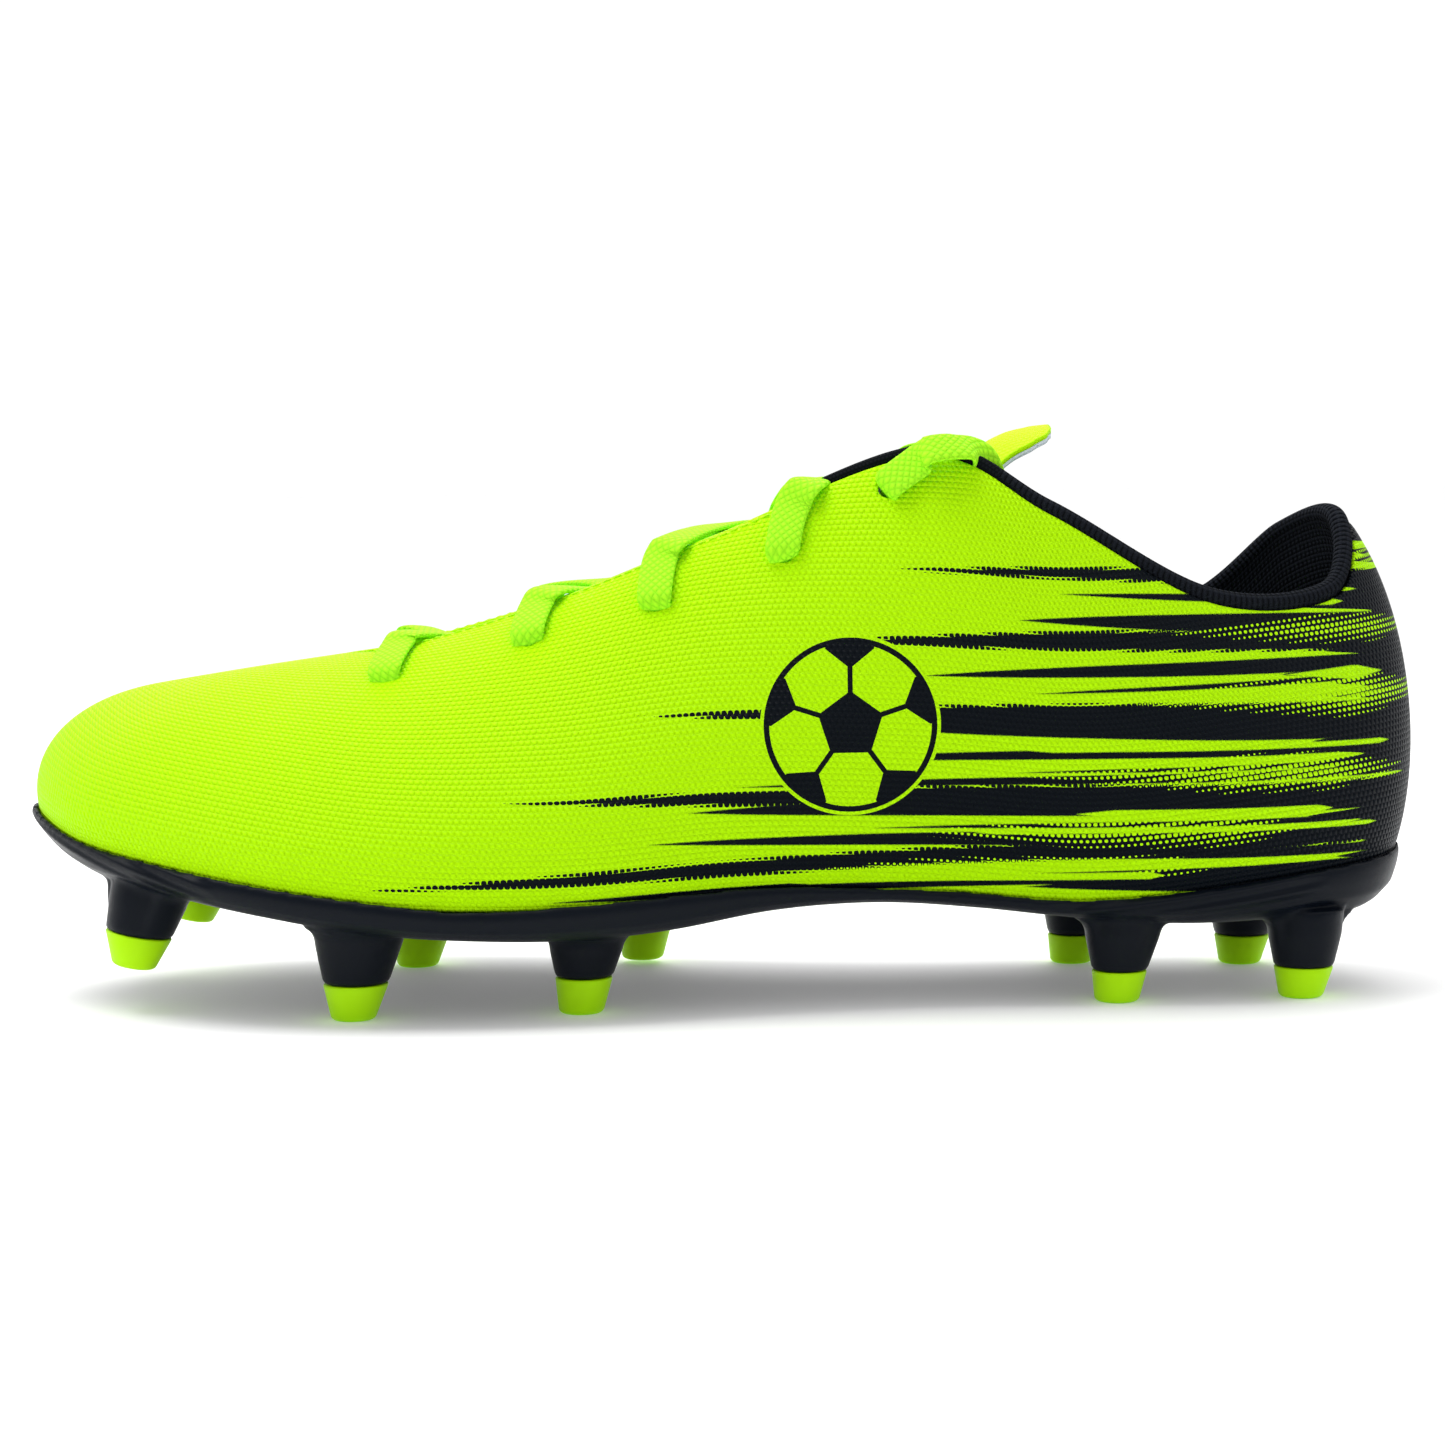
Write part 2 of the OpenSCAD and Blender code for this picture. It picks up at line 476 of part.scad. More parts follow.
// The straight bar between the first two holes lies on the tongue, under the vamp's edge
BAR = let (x = layer(EYELETS[0][0], EYELETS[0][1], lace_in).x)
    [for (y = [-7, 3, 13]) [x, y, tongue_top(x, y) + lace_r + 0.5]];
function reversed(list) = [for (i = [len(list) - 1 : -1 : 0]) list[i]];
function lying(list) = [for (p = list) [p.x, p.y, insole_top(p.x) + lace_r + 1.4]];
TAIL_LATERAL = concat(DROP_LATERAL, lying(LIE_LATERAL));
TAIL_MEDIAL = concat(DROP_MEDIAL, lying(LIE_MEDIAL));
LACE_ROUTE = concat(reversed(TAIL_LATERAL), reversed(half_lace(-1)), BAR, half_lace(1), TAIL_MEDIAL);
module lace() {
    color(neon) tube(LACE_ROUTE, function(s) lace_r);
}
// A plastic sleeve over the end of the lace, past its last point
module aglet(tail) {
    last = tail[len(tail) - 1];
    d = unit(last - tail[len(tail) - 2]);
    color(neon) translate(last + 0.05 * d) rotate([0, acos(d.z), atan2(d.y, d.x)])
        cylinder(h = aglet_l, r = aglet_r, $fn = 24);
}

// The outlines above are drawn about the last's own axis; the origin is the middle of the boot's box
centre_shift = [1, 3.12, 0];
module sized() scale(boot_length / drawn_length) translate(centre_shift) children();
sized() outsole_plate();
for (i = [0 : len(STUDS) - 1]) sized() stud_tip(i);
sized() lasting_board();
sized() insole();
sized() upper();
sized() vamp_lining();
sized() toe_puff();
sized() heel_counter();
sized() collar_foam();
sized() collar_lining();
sized() collar_rim();
sized() topline_binding(-1);  // topline_binding_lateral
sized() topline_binding(1);  // topline_binding_medial
sized() eyestay_reinforcement(-1);  // eyestay_reinforcement_lateral
sized() eyestay_reinforcement(1);  // eyestay_reinforcement_medial
sized() tongue_face();
sized() tongue_padding();
sized() tongue_tip_face();
sized() tongue_tip_padding();
sized() lace();
sized() aglet(TAIL_LATERAL);  // aglet_lateral
sized() aglet(TAIL_MEDIAL);  // aglet_medial
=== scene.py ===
import json
from functools import partialmethod
from math import cos, pi, radians, sin

import bmesh
import bpy
import numpy as np
from mathutils import Matrix, Vector


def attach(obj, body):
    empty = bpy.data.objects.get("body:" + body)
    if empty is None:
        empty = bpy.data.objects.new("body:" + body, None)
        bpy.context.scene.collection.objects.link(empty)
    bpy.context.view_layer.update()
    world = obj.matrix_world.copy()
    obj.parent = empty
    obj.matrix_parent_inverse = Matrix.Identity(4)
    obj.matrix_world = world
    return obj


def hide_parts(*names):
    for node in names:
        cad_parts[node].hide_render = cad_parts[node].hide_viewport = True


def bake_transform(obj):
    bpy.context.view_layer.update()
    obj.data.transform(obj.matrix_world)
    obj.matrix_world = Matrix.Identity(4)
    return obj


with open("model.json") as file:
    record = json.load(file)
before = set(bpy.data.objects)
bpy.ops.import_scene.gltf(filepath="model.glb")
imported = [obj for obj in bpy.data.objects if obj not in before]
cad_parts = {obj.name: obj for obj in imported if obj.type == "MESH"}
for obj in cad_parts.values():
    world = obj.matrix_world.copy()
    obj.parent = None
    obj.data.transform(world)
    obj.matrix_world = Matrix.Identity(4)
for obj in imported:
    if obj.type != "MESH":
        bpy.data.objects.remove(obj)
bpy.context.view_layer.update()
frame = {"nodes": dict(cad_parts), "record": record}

MM = 0.001
SHIFT = np.array([1.0, 3.12, 0.0])  # from the last's own axis to the middle of the boot's box

# ---- the boot's form
FIRST_KNOT, KNOT_STEP = -150, 20
EDGE_Z = [41, 34.8, 31.2, 28, 25.3, 23.1, 23.6, 24.7, 25.5, 24.6, 23.3, 21.6, 23, 25.4, 27.6, 30]
BED_Z = [38.6, 30.5, 27.2, 24, 21, 19, 19.2, 20.6, 22.8, 23, 21.7, 19.8, 19, 19.5, 20.5, 23]
UNDER_Z = [36, 27.6, 24.4, 21.1, 18, 16.4, 15.8, 17, 20, 20.9, 19.5, 17.3, 15.8, 16, 16.5, 20]
FOOT_DROP = 1.2
# Ribs up the outside of the upper: foot on the plate, lower handle, upper handle, top
RIBS = [
    [[139, 3], [145.5, 2, 47], [142, 1, 78], [129.5, 1, 95.3]],
    [[131, -17], [135, -22, 45], [130, -19.5, 64], [124, -16, 80.5]],
    [[105, -29], [105, -36, 44], [101, -32, 62], [97, -28, 79.8]],
    [[73, -31], [72, -38, 45], [68, -33, 80], [65, -29, 97.5]],
    [[37, -31], [37, -39, 52], [39, -32, 96], [40, -23, 109.4]],
    [[3, -37], [2, -44, 50], [-3, -30, 86], [-2, -17, 94]],
    [[-30, -46], [-32, -52, 46], [-37, -28, 76], [-35, -13, 81]],
    [[-66, -49], [-67, -55, 43], [-66, -25, 69.5], [-64, -9, 72.3]],
    [[-100, -42], [-103, -47, 46], [-83, -19, 69.4], [-77, 1, 70.2]],
    [[-128, -23], [-134, -28, 48], [-109, -15, 66.3], [-95, 2, 67.6]],
    [[-142.3, 5], [-146, 5, 52], [-133, 4, 62.8], [-112.5, 3, 64.8]],
    [[-130, 27], [-136, 32, 48], [-109, 19, 66.3], [-95, 2, 67.6]],
    [[-104, 39], [-107, 44, 46], [-83, 21, 69.4], [-77, 1, 70.2]],
    [[-70, 43], [-71, 48, 44], [-66, 27, 69.5], [-64, 11, 72.3]],
    [[-32, 39], [-34, 45, 48], [-37, 29, 76.5], [-35, 15, 80.6]],
    [[3, 32], [2, 40, 52], [-3, 31, 86], [-2, 19, 93]],
    [[37, 28], [37, 37, 54], [39, 33, 96], [40, 25, 108.4]],
    [[73, 30], [72, 37, 47], [68, 34, 78], [65, 30, 95.5]],
    [[105, 31], [105, 37, 43], [101, 33, 60], [97, 29, 76]],
    [[131, 20], [135, 24, 45], [127, 23, 68], [120, 19, 91.6]],
]
TOE_RIB, CLOSED_RIBS = 10, 2
MIDDLE_OUTER_RIB, MIDDLE_INNER_RIB = 5, 15
SKIN_T, STIFFENER_T, LINING_T, FOAM_T = 1.2, 0.7, 0.8, 4.4
LINING_OUT = SKIN_T + STIFFENER_T + 0.2
LINING_IN = LINING_OUT + LINING_T
HEEL_REACH = 3.4
EYELETS = [(7.08, 0.77), (6.09, 0.79), (5.31, 0.77), (4.65, 0.79), (4.17, 0.89)]
EYELET_R = 2.3
BINDING_R = 1.5  # the tape along the top line is a round roll
LACE_R = 1.1
LACE_IN = LINING_IN + LACE_R + 0.1  # how deep the lace's centre line lies once it is inside the upper
BOARD_T, INSOLE_T = 1.5, 4.0
N_RIBS = len(RIBS)
SLOPE_STEP = 0.02  # the step for measuring a slope, in ribs or in shares of the upper's height
AT_TOP = 0.999  # past this share of the height a point is on the upper's top edge


def catmull(a, b, c, d, t):
    """The cubic through b and c, on its way from a to d."""
    square = 2 * a - 5 * b + 4 * c - d
    cube = 3 * b - a - 3 * c + d
    return 0.5 * (2 * b + (c - a) * t + square * t**2 + cube * t**3)


def catmull_at(values, i, t):
    """The cubic through a list's entries i and i + 1. Past its ends the list repeats its end value."""
    last = len(values) - 1
    return catmull(values[np.maximum(i - 1, 0)], values[i], values[i + 1], values[np.minimum(i + 2, last)], t)


def along(heights, x):
    """A height listed every KNOT_STEP, read at x."""
    values = np.asarray(heights, float)
    last = len(values) - 1
    s = np.clip((np.asarray(x, float) - FIRST_KNOT) / KNOT_STEP, 0, last - 0.001)
    i = np.floor(s).astype(int)
    return catmull_at(values, i, s - i)


RIB = np.array([
    [[foot[0], foot[1], float(along(EDGE_Z, foot[0])) - FOOT_DROP], low, high, top]
    for foot, low, high, top in RIBS
], float)


def unit(v):
    """The same direction, with length 1."""
    return v / np.maximum(np.linalg.norm(v, axis=-1, keepdims=True), 1e-12)


def rail(u, k):
    """Level k of the ribs (0 foot to 3 top) at the places u round the boot."""
    u = np.asarray(u, float)
    i = np.floor(u).astype(int)
    level = RIB[:, k]
    points = [level[(i + step) % N_RIBS] for step in (-1, 0, 1, 2)]
    return catmull(*points, (u - i)[..., None])


def is_closed(u):
    """True over the toe, where both halves of the upper meet on the centre line."""
    return np.abs(np.asarray(u) - TOE_RIB) <= CLOSED_RIBS + 1e-6


def centre_line(s):
    """The line where the vamp's two halves meet, from the toe rib (0) to the throat (2)."""
    a, b, c = RIB[TOE_RIB, 3], RIB[TOE_RIB + 1, 3], RIB[TOE_RIB + 2, 3]
    s = np.asarray(s, float)[..., None]
    return np.where(s < 1, catmull(b, a, b, c, s), catmull(a, b, c, 2 * c - b, s - 1))


def top_rail(u):
    """The upper's top edge: the centre line over the toe, the throat and the collar behind it."""
    u = np.asarray(u, float)
    top = rail(u, 3)
    for side in (-1, 1):
        n = TOE_RIB + side * CLOSED_RIBS
        a, b, c = RIB[n, 3], RIB[n + side, 3], RIB[n + 2 * side, 3]
        start = np.array([a[0] - 4, a[1] - side * 14, a[2] - 1])
        end = catmull(start, a, b, c, np.abs(u - n)[..., None])
        first_span = (side * (u - n) > 0) & (side * (u - n) < 1)
        top = np.where(first_span[..., None], end, top)
    closed = np.round(np.clip(np.abs(u - TOE_RIB), 0, CLOSED_RIBS), 6)
    return np.where(is_closed(u)[..., None], centre_line(closed), top)


def skin(u, v):
    """The upper's outer surface: u counts ribs round the boot, v runs from the plate (0) to the top (1)."""
    v = np.asarray(v, float)[..., None]
    w = 1 - v
    return w**3 * rail(u, 0) + 3 * w * w * v * rail(u, 1) + 3 * w * v * v * rail(u, 2) + v**3 * top_rail(u)


def skin_normal(u, v):
    """The way out of the upper at (u, v)."""
    e = SLOPE_STEP
    u, v = np.broadcast_arrays(np.asarray(u, float), np.asarray(v, float))
    vv = np.clip(v, e, 1 - e)
    normal = unit(np.cross(skin(u, vv + e) - skin(u, vv - e), skin(u + e, vv) - skin(u - e, vv)))
    s = np.abs(u - TOE_RIB)
    d = centre_line(np.clip(s + e, 0, 2)) - centre_line(np.clip(s - e, 0, 2))
    on_centre = unit(np.stack([-d[..., 2], 0 * s, d[..., 0]], -1))
    return np.where((is_closed(u) & (v > AT_TOP))[..., None], on_centre, normal)


def layer(u, v, depth):
    """A point that lies depth under the outer surface."""
    u, v, depth = np.broadcast_arrays(np.asarray(u, float), np.asarray(v, float), np.asarray(depth, float))
    return skin(u, v) - depth[..., None] * skin_normal(u, v)


def edge_up(u):
    """The way up the upper at its top edge."""
    return unit(skin(u, np.ones_like(u)) - skin(u, 0.96 * np.ones_like(u)))


def from_heel(u):
    """How many ribs u is from the middle of the heel."""
    return np.minimum(np.mod(u, N_RIBS), N_RIBS - np.mod(u, N_RIBS))


def bell(distance):
    """1 at distance 0, falling as a cosine to 0 at distance 1."""
    return np.maximum(0, np.cos(np.pi / 2 * np.clip(distance, 0, 1)))


def round_heel(u):
    """1 at the middle of the heel, and 0 where the collar ends."""
    return bell(from_heel(u) / HEEL_REACH)


def stuffing(u, v):
    """How thick the collar's foam is."""
    up_wall = np.maximum(0, np.sin(np.pi * np.clip((v - 0.5) / 0.52, 0, 1)))
    return FOAM_T * round_heel(u)**0.6 * up_wall**0.8


def rim_radius(u):
    """The collar's rolled edge is thickest at the heel."""
    return BINDING_R + 0.5 * round_heel(u)


# ---- mesh making
def link(obj):
    bpy.context.scene.collection.objects.link(obj)


def mesh_object(name, points, faces, uv=None):
    """A smooth-shaded mesh from points in millimetres on the last's axis. uv is a map in millimetres."""
    mesh = bpy.data.meshes.new(name)
    mesh.from_pydata(((np.asarray(points) + SHIFT) * MM).tolist(), [], [tuple(f) for f in faces])
    mesh.update()
    if uv is not None:
        weave = mesh.uv_layers.new(name="weave")
        loops = np.empty(len(mesh.loops), int)
        mesh.loops.foreach_get("vertex_index", loops)
        weave.data.foreach_set("uv", np.asarray(uv, float)[loops].ravel())
    obj = bpy.data.objects.new(name, mesh)
    link(obj)
    return shade_smooth(obj)


def grid_faces(rows, columns, ring=False, flip=False, start=0):
    """Quads over a grid of points, row by row. A ring joins its last row to its first."""
    last = rows if ring else rows - 1
    i, j = np.meshgrid(np.arange(last), np.arange(columns - 1), indexing="ij")
    k = (i + 1) % rows
    quad = [i * columns + j, i * columns + j + 1, k * columns + j + 1, k * columns + j]
    quads = np.stack([q.ravel() + start for q in quad], -1)
    return quads[:, ::-1] if flip else quads


def join(pieces):
    """Makes one object of several, and gives it back under the first one's name."""
    with bpy.context.temp_override(active_object=pieces[0], selected_editable_objects=pieces):
        bpy.ops.object.join()
    return pieces[0]


def apply_modifiers(obj):
    """Bakes an object's modifiers into its mesh."""
    done = bpy.data.meshes.new_from_object(obj.evaluated_get(bpy.context.evaluated_depsgraph_get()))
    obj.modifiers.clear()
    obj.data = done
    return obj


def shade_smooth(obj):
    """Rounds off the shading of all faces."""
    obj.data.polygons.foreach_set("use_smooth", [True] * len(obj.data.polygons))
    return obj


def run_along(points, axis=0):
    """How far each point is from the first, measured along one axis of a grid of points."""
    steps = np.linalg.norm(np.diff(points, axis=axis), axis=-1)
    return np.concatenate([np.zeros_like(np.take(steps, [0], axis)), np.cumsum(steps, axis)], axis)


def circle(count):
    """Evenly spread angles of a full turn."""
    return np.linspace(0, 2 * np.pi, count, endpoint=False)


def weave_map(us, vs):
    """Distances in mm along each level (from the middle of its side) and up each rib."""
    u, v = np.meshgrid(us, vs, indexing="ij")
    points = skin(u, v)
    run, rise = run_along(points, 0), run_along(points, 1)
    for middle, part in ((MIDDLE_OUTER_RIB, us < TOE_RIB), (MIDDLE_INNER_RIB, us >= TOE_RIB)):
        if part.any():
            here = np.argmin(np.abs(us - middle))
            run[part] -= run[here]
    return np.stack([run, rise], -1)


def shell(name, us, vs, outer, inner, ring=False):
    """A closed slab between two depths under the skin, with a weave map."""
    u, v = np.meshgrid(us, vs, indexing="ij")
    nu, nv = u.shape
    points = np.concatenate([layer(u, v, depth(u, v)).reshape(-1, 3) for depth in (outer, inner)])
    uv = np.tile(weave_map(us, vs).reshape(-1, 2), (2, 1))
    side = nu * nv
    faces = [grid_faces(nu, nv, ring, flip=True), grid_faces(nu, nv, ring, start=side)]
    last = nu if ring else nu - 1
    for i in range(last):
        k = (i + 1) % nu
        rows = [(i * nv, k * nv, side + k * nv, side + i * nv)]
        if not (is_closed(us[i]) and is_closed(us[k]) and vs[-1] > AT_TOP):
            end = nv - 1
            rows.append((side + i * nv + end, side + k * nv + end, k * nv + end, i * nv + end))
        faces.append(np.array(rows)[:, ::-1])
    if not ring:
        for i, turn in ((0, 1), (nu - 1, -1)):
            j = np.arange(nv - 1)
            wall = np.stack([i * nv + j, i * nv + j + 1, side + i * nv + j + 1, side + i * nv + j], -1)
            faces.append(wall[:, ::turn])
    obj = mesh_object(name, points, np.concatenate(faces), uv)
    weld(obj)
    return obj


def weld(obj, cap=False):
    """Joins points that share a place, and turns all faces outwards. cap closes the open ends first."""
    bm = bmesh.new()
    bm.from_mesh(obj.data)
    if cap:
        bmesh.ops.remove_doubles(bm, verts=bm.verts, dist=0.001 * MM)
        bmesh.ops.holes_fill(bm, edges=[e for e in bm.edges if e.is_boundary])
    bmesh.ops.remove_doubles(bm, verts=bm.verts, dist=0.01 * MM)
    bmesh.ops.recalc_face_normals(bm, faces=bm.faces)
    bm.to_mesh(obj.data)
    bm.free()
    return shade_smooth(obj)


def sweep(name, path, across, up, outline):
    """A closed band or tube: outline(i) gives its section at path point i as (across, up) pairs."""
    sections = np.array([outline(i) for i in range(len(path))])
    points = path[:, None] + sections[..., :1] * across[:, None] + sections[..., 1:] * up[:, None]
    girth = run_along(np.concatenate([sections, sections[:, :1]], 1), 1)
    points = np.concatenate([points, points[:, :1]], 1)
    uv = np.stack(np.broadcast_arrays(run_along(path)[:, None], girth), -1)
    obj = mesh_object(name, points.reshape(-1, 3), grid_faces(*points.shape[:2]), uv.reshape(-1, 2))
    return weld(obj, cap=True)


def smooth_path(points, per_span):
    """A Catmull-Rom curve through given points."""
    p = np.asarray(points, float)
    p = np.concatenate([[2 * p[0] - p[1]], p, [2 * p[-1] - p[-2]]])
    t = np.linspace(0, 1, per_span, endpoint=False)[:, None]
    spans = [catmull(p[i - 1], p[i], p[i + 1], p[i + 2], t) for i in range(1, len(p) - 2)]
    return np.concatenate(spans + [p[-2:-1]])


def tangents(path):
    """The way forward at each point of a path."""
    return unit(np.gradient(path, axis=0))


# ---- materials
class Nodes:
    """Short calls for building a material's nodes."""

    def __init__(self, name):
        self.material = bpy.data.materials.new(name)
        self.material.use_nodes = True
        self.tree = self.material.node_tree
        self.shader = self.tree.nodes["Principled BSDF"]

    def add(self, kind, inputs=(), **settings):
        node = self.tree.nodes.new(kind)
        for key, value in settings.items():
            setattr(node, key, value)
        for i, value in enumerate(inputs):
            self.put(node.inputs[i], value)
        return node

    def put(self, socket, value):
        if isinstance(value, bpy.types.NodeSocket):
            self.tree.links.new(value, socket)
        elif value is not None:
            socket.default_value = value

    def math(self, operation, *values, clamp=False):
        return self.add("ShaderNodeMath", values, operation=operation, use_clamp=clamp).outputs[0]

    plus = partialmethod(math, "ADD")
    minus = partialmethod(math, "SUBTRACT")
    times = partialmethod(math, "MULTIPLY")
    share = partialmethod(math, "DIVIDE")
    times_plus = partialmethod(math, "MULTIPLY_ADD")
    more = partialmethod(math, "MAXIMUM")
    less = partialmethod(math, "MINIMUM")
    over = partialmethod(math, "GREATER_THAN")
    wave = partialmethod(math, "SINE")
    size = partialmethod(math, "ABSOLUTE")

    def mix(self, factor, a, b):
        node = self.tree.nodes.new("ShaderNodeMix")
        node.data_type = "RGBA"
        self.put(node.inputs["Factor"], factor)
        for key, value in (("A", a), ("B", b)):
            socket = [s for s in node.inputs if s.name == key and s.type == "RGBA"][0]
            self.put(socket, (*value, 1) if isinstance(value, tuple) else value)
        return [s for s in node.outputs if s.type == "RGBA"][0]

    def split(self, vector):
        return self.add("ShaderNodeSeparateXYZ", [vector]).outputs[:3]

    def object_place(self):
        """The point's own place, in millimetres."""
        scaled = self.add("ShaderNodeVectorMath", operation="SCALE")
        self.put(scaled.inputs[0], self.add("ShaderNodeTexCoord").outputs["Object"])
        scaled.inputs["Scale"].default_value = 1 / MM
        return scaled.outputs[0]

    def weave(self):
        """The point's place on its sheet, in millimetres."""
        return self.split(self.add("ShaderNodeUVMap", uv_map="weave").outputs[0])[:2]

    def noise(self, scale, detail=2.0):
        node = self.add("ShaderNodeTexNoise")
        self.put(node.inputs["Vector"], self.object_place())
        node.inputs["Scale"].default_value = scale
        node.inputs["Detail"].default_value = detail
        return node.outputs["Fac"]

    def bump(self, height, distance, normal=None):
        """A bump of so many millimetres, on top of another one where normal is given."""
        node = self.add("ShaderNodeBump")
        node.inputs["Strength"].default_value = 1.0
        node.inputs["Distance"].default_value = distance * MM
        self.put(node.inputs["Height"], height)
        self.put(node.inputs["Normal"], normal)
        return node.outputs[0]

    def finish(self, colour, roughness, normal=None, **sockets):
        self.put(self.shader.inputs["Base Color"], colour)
        self.put(self.shader.inputs["Roughness"], roughness)
        self.put(self.shader.inputs["Normal"], normal)
        for key, value in sockets.items():
            self.shader.inputs[key.replace("_", " ")].default_value = value
        return self.material

    def pillow(self, run, rise, pitch):
        """A rounded bump in each cell of a brick grid of this pitch."""
        a, b = self.share(run, pitch[0]), self.share(rise, pitch[1])
        row = self.math("FLOOR", b)
        half = self.times(self.math("FLOORED_MODULO", row, 2.0), 0.5)
        ca = self.minus(self.math("FRACT", self.plus(a, half)), 0.5)
        cb = self.minus(self.math("FRACT", b), 0.5)
        falls = [self.minus(1.0, self.times(self.times(c, c), 4.0)) for c in (ca, cb)]
        return self.times(*falls)


NEON = (0.50, 0.98, 0.0)
NEON_DEEP = (0.46, 0.93, 0.0)
INK = (0.003, 0.005, 0.008)
EMBOSS_PITCH, EMBOSS_DEPTH = (1.25, 1.15), 0.36
# The print's streaks run along the boot, from a tip near the toe to the heel:
# [x of the tip, height at the tip, height at the heel, half width, length of the taper]
STREAKS = [
    (67, 82, 79.5, 0.9, 40), (59, 77, 75, 1.9, 45), (78, 71.8, 70.5, 0.5, 30),
    (40, 66.4, 67.5, 1.3, 45), (62, 62.6, 64.6, 0.5, 30), (20, 57.2, 56, 3, 60),
    (11, 50.4, 51, 0.9, 50), (58, 47.2, 47.8, 0.5, 40), (3, 45.3, 46, 0.8, 60),
    (-6, 40.6, 41.2, 2.3, 70), (30, 36.6, 36.8, 0.5, 40), (-14, 34.8, 33.5, 1.3, 60),
    (14, 31.2, 30.4, 0.8, 40), (-33, 24.2, 27.2, 1, 50), (60, 24.4, 24.8, 2.2, 60),
]
# Streaks made of dots that thin out towards the tip
DOTTED = [
    (33, 87.2, 84, 1.5, 40), (19, 73.4, 72.2, 2.1, 50), (-16, 59.4, 58.4, 1.7, 50),
    (-42, 43.4, 42.4, 1.9, 60), (-69, 27.2, 33.5, 1.7, 60),
]
# Neon left open in the black, towards the heel: [x where it starts, x where it ends, height, half height]
FLASHES = [
    (60, 135, 51.6, 0.5), (70, 122, 38.9, 0.7), (50, 132, 35.4, 0.4),
    (112, 134, 65.4, 1.3), (10, 88, 26.4, 0.7), (90, 126, 79.4, 0.6),
]
# The same, as dots
SPRAYS = [
    (104, 146, 88, 4.5), (84, 146, 74.2, 3), (70, 150, 61.4, 5), (56, 140, 46.4, 4),
    (34, 118, 35.4, 3.6), (14, 100, 28.2, 2.4),
]
HEEL_X = 130.0
STREAK_WEIGHT = 1.25  # the ink spreads past the widths above
FLASH_SLOPES = 0.09, 0.22  # how fast an opening widens from its front end, and from its back end
FILL_X = 129.0  # where the all-black heel starts
FILL_WAVES = [(7.0, 0.41), (5.0, 1.37), (3.5, 2.9)]  # how unevenly: mm to and fro, radians per mm of height
# A dot shows where the ink's density, times the first number, and its bump together pass the second
DOT_INK, DOT_LIMIT = 0.95, 0.72
SPRAY_INK, SPRAY_LIMIT = 0.17, 0.93


def within_streak(n, row, x, z):
    """Positive inside one streak."""
    tip, low, high, half, taper = [float(value) for value in row]
    run = n.more(n.minus(x, tip), 0.0)
    middle = n.times_plus(run, (high - low) / (HEEL_X - tip), low)
    width = n.minus(1.0, n.math("EXPONENT", n.times(run, -1.6 / taper)))
    away = n.size(n.minus(z, middle))
    return n.minus(n.times(width, half * STREAK_WEIGHT), away)


def within_flash(n, row, x, z):
    """Positive inside one opening in the black, which narrows to a point at both ends."""
    start, end, height, half = [float(value) for value in row]
    from_start = n.times(n.minus(x, start), FLASH_SLOPES[0])
    to_end = n.times(n.minus(end, x), FLASH_SLOPES[1])
    width = n.less(n.less(from_start, to_end), half)
    return n.minus(width, n.size(n.minus(z, height)))


def deepest(n, within, rows, x, z):
    """Positive inside any of the rows."""
    found = within(n, rows[0], x, z)
    for row in rows[1:]:
        found = n.more(found, within(n, row, x, z))
    return found


EMBLEM_CENTRE = (26.0, 57.0)
EMBLEM_R, EMBLEM_RING, EMBLEM_LINE = 17.0, 1.1, 0.5
EMBLEM_PANEL = 5.4  # from the middle panel's centre to its sides
RIM_PANEL_START, RIM_PANEL_HALF = 11.0, 4.8
EMBLEM_CLEAR = 0.7  # the bare ring round the ball


def emblem(n, x, z):
    """A plain football, seen on a black panel: how far inside the ball, and how far inside its lines."""
    dx = n.minus(x, EMBLEM_CENTRE[0])
    dz = n.minus(z, EMBLEM_CENTRE[1])
    r = n.math("SQRT", n.plus(n.times(dx, dx), n.times(dz, dz)))
    half, sector = radians(36), radians(72)
    turn = n.minus(n.math("ARCTAN2", dz, dx), radians(90) - half)
    fold = n.minus(n.math("FLOORED_MODULO", turn, sector), half)
    a = n.size(fold)
    out = n.times(r, n.math("COSINE", a))
    off = n.times(r, n.wave(a))
    to_side = n.times(r, n.math("COSINE", n.minus(half, a)))
    panel = n.minus(EMBLEM_PANEL, to_side)
    seam = n.less(n.minus(EMBLEM_LINE, off), n.minus(out, EMBLEM_PANEL))
    corner = n.times(n.minus(out, RIM_PANEL_START), 1.25)
    rim_panel = n.minus(n.less(corner, RIM_PANEL_HALF), off)
    ring = n.minus(r, EMBLEM_R - EMBLEM_RING)
    lines = n.more(n.more(panel, seam), n.more(rim_panel, ring))
    return n.minus(EMBLEM_R, r), lines


def dots(n, near, bumps, limit):
    """Dots that sit on the cells of the embossing, and grow with the density near them."""
    full = n.over(n.plus(near, bumps), limit)
    return n.times(full, n.over(near, 0.0))


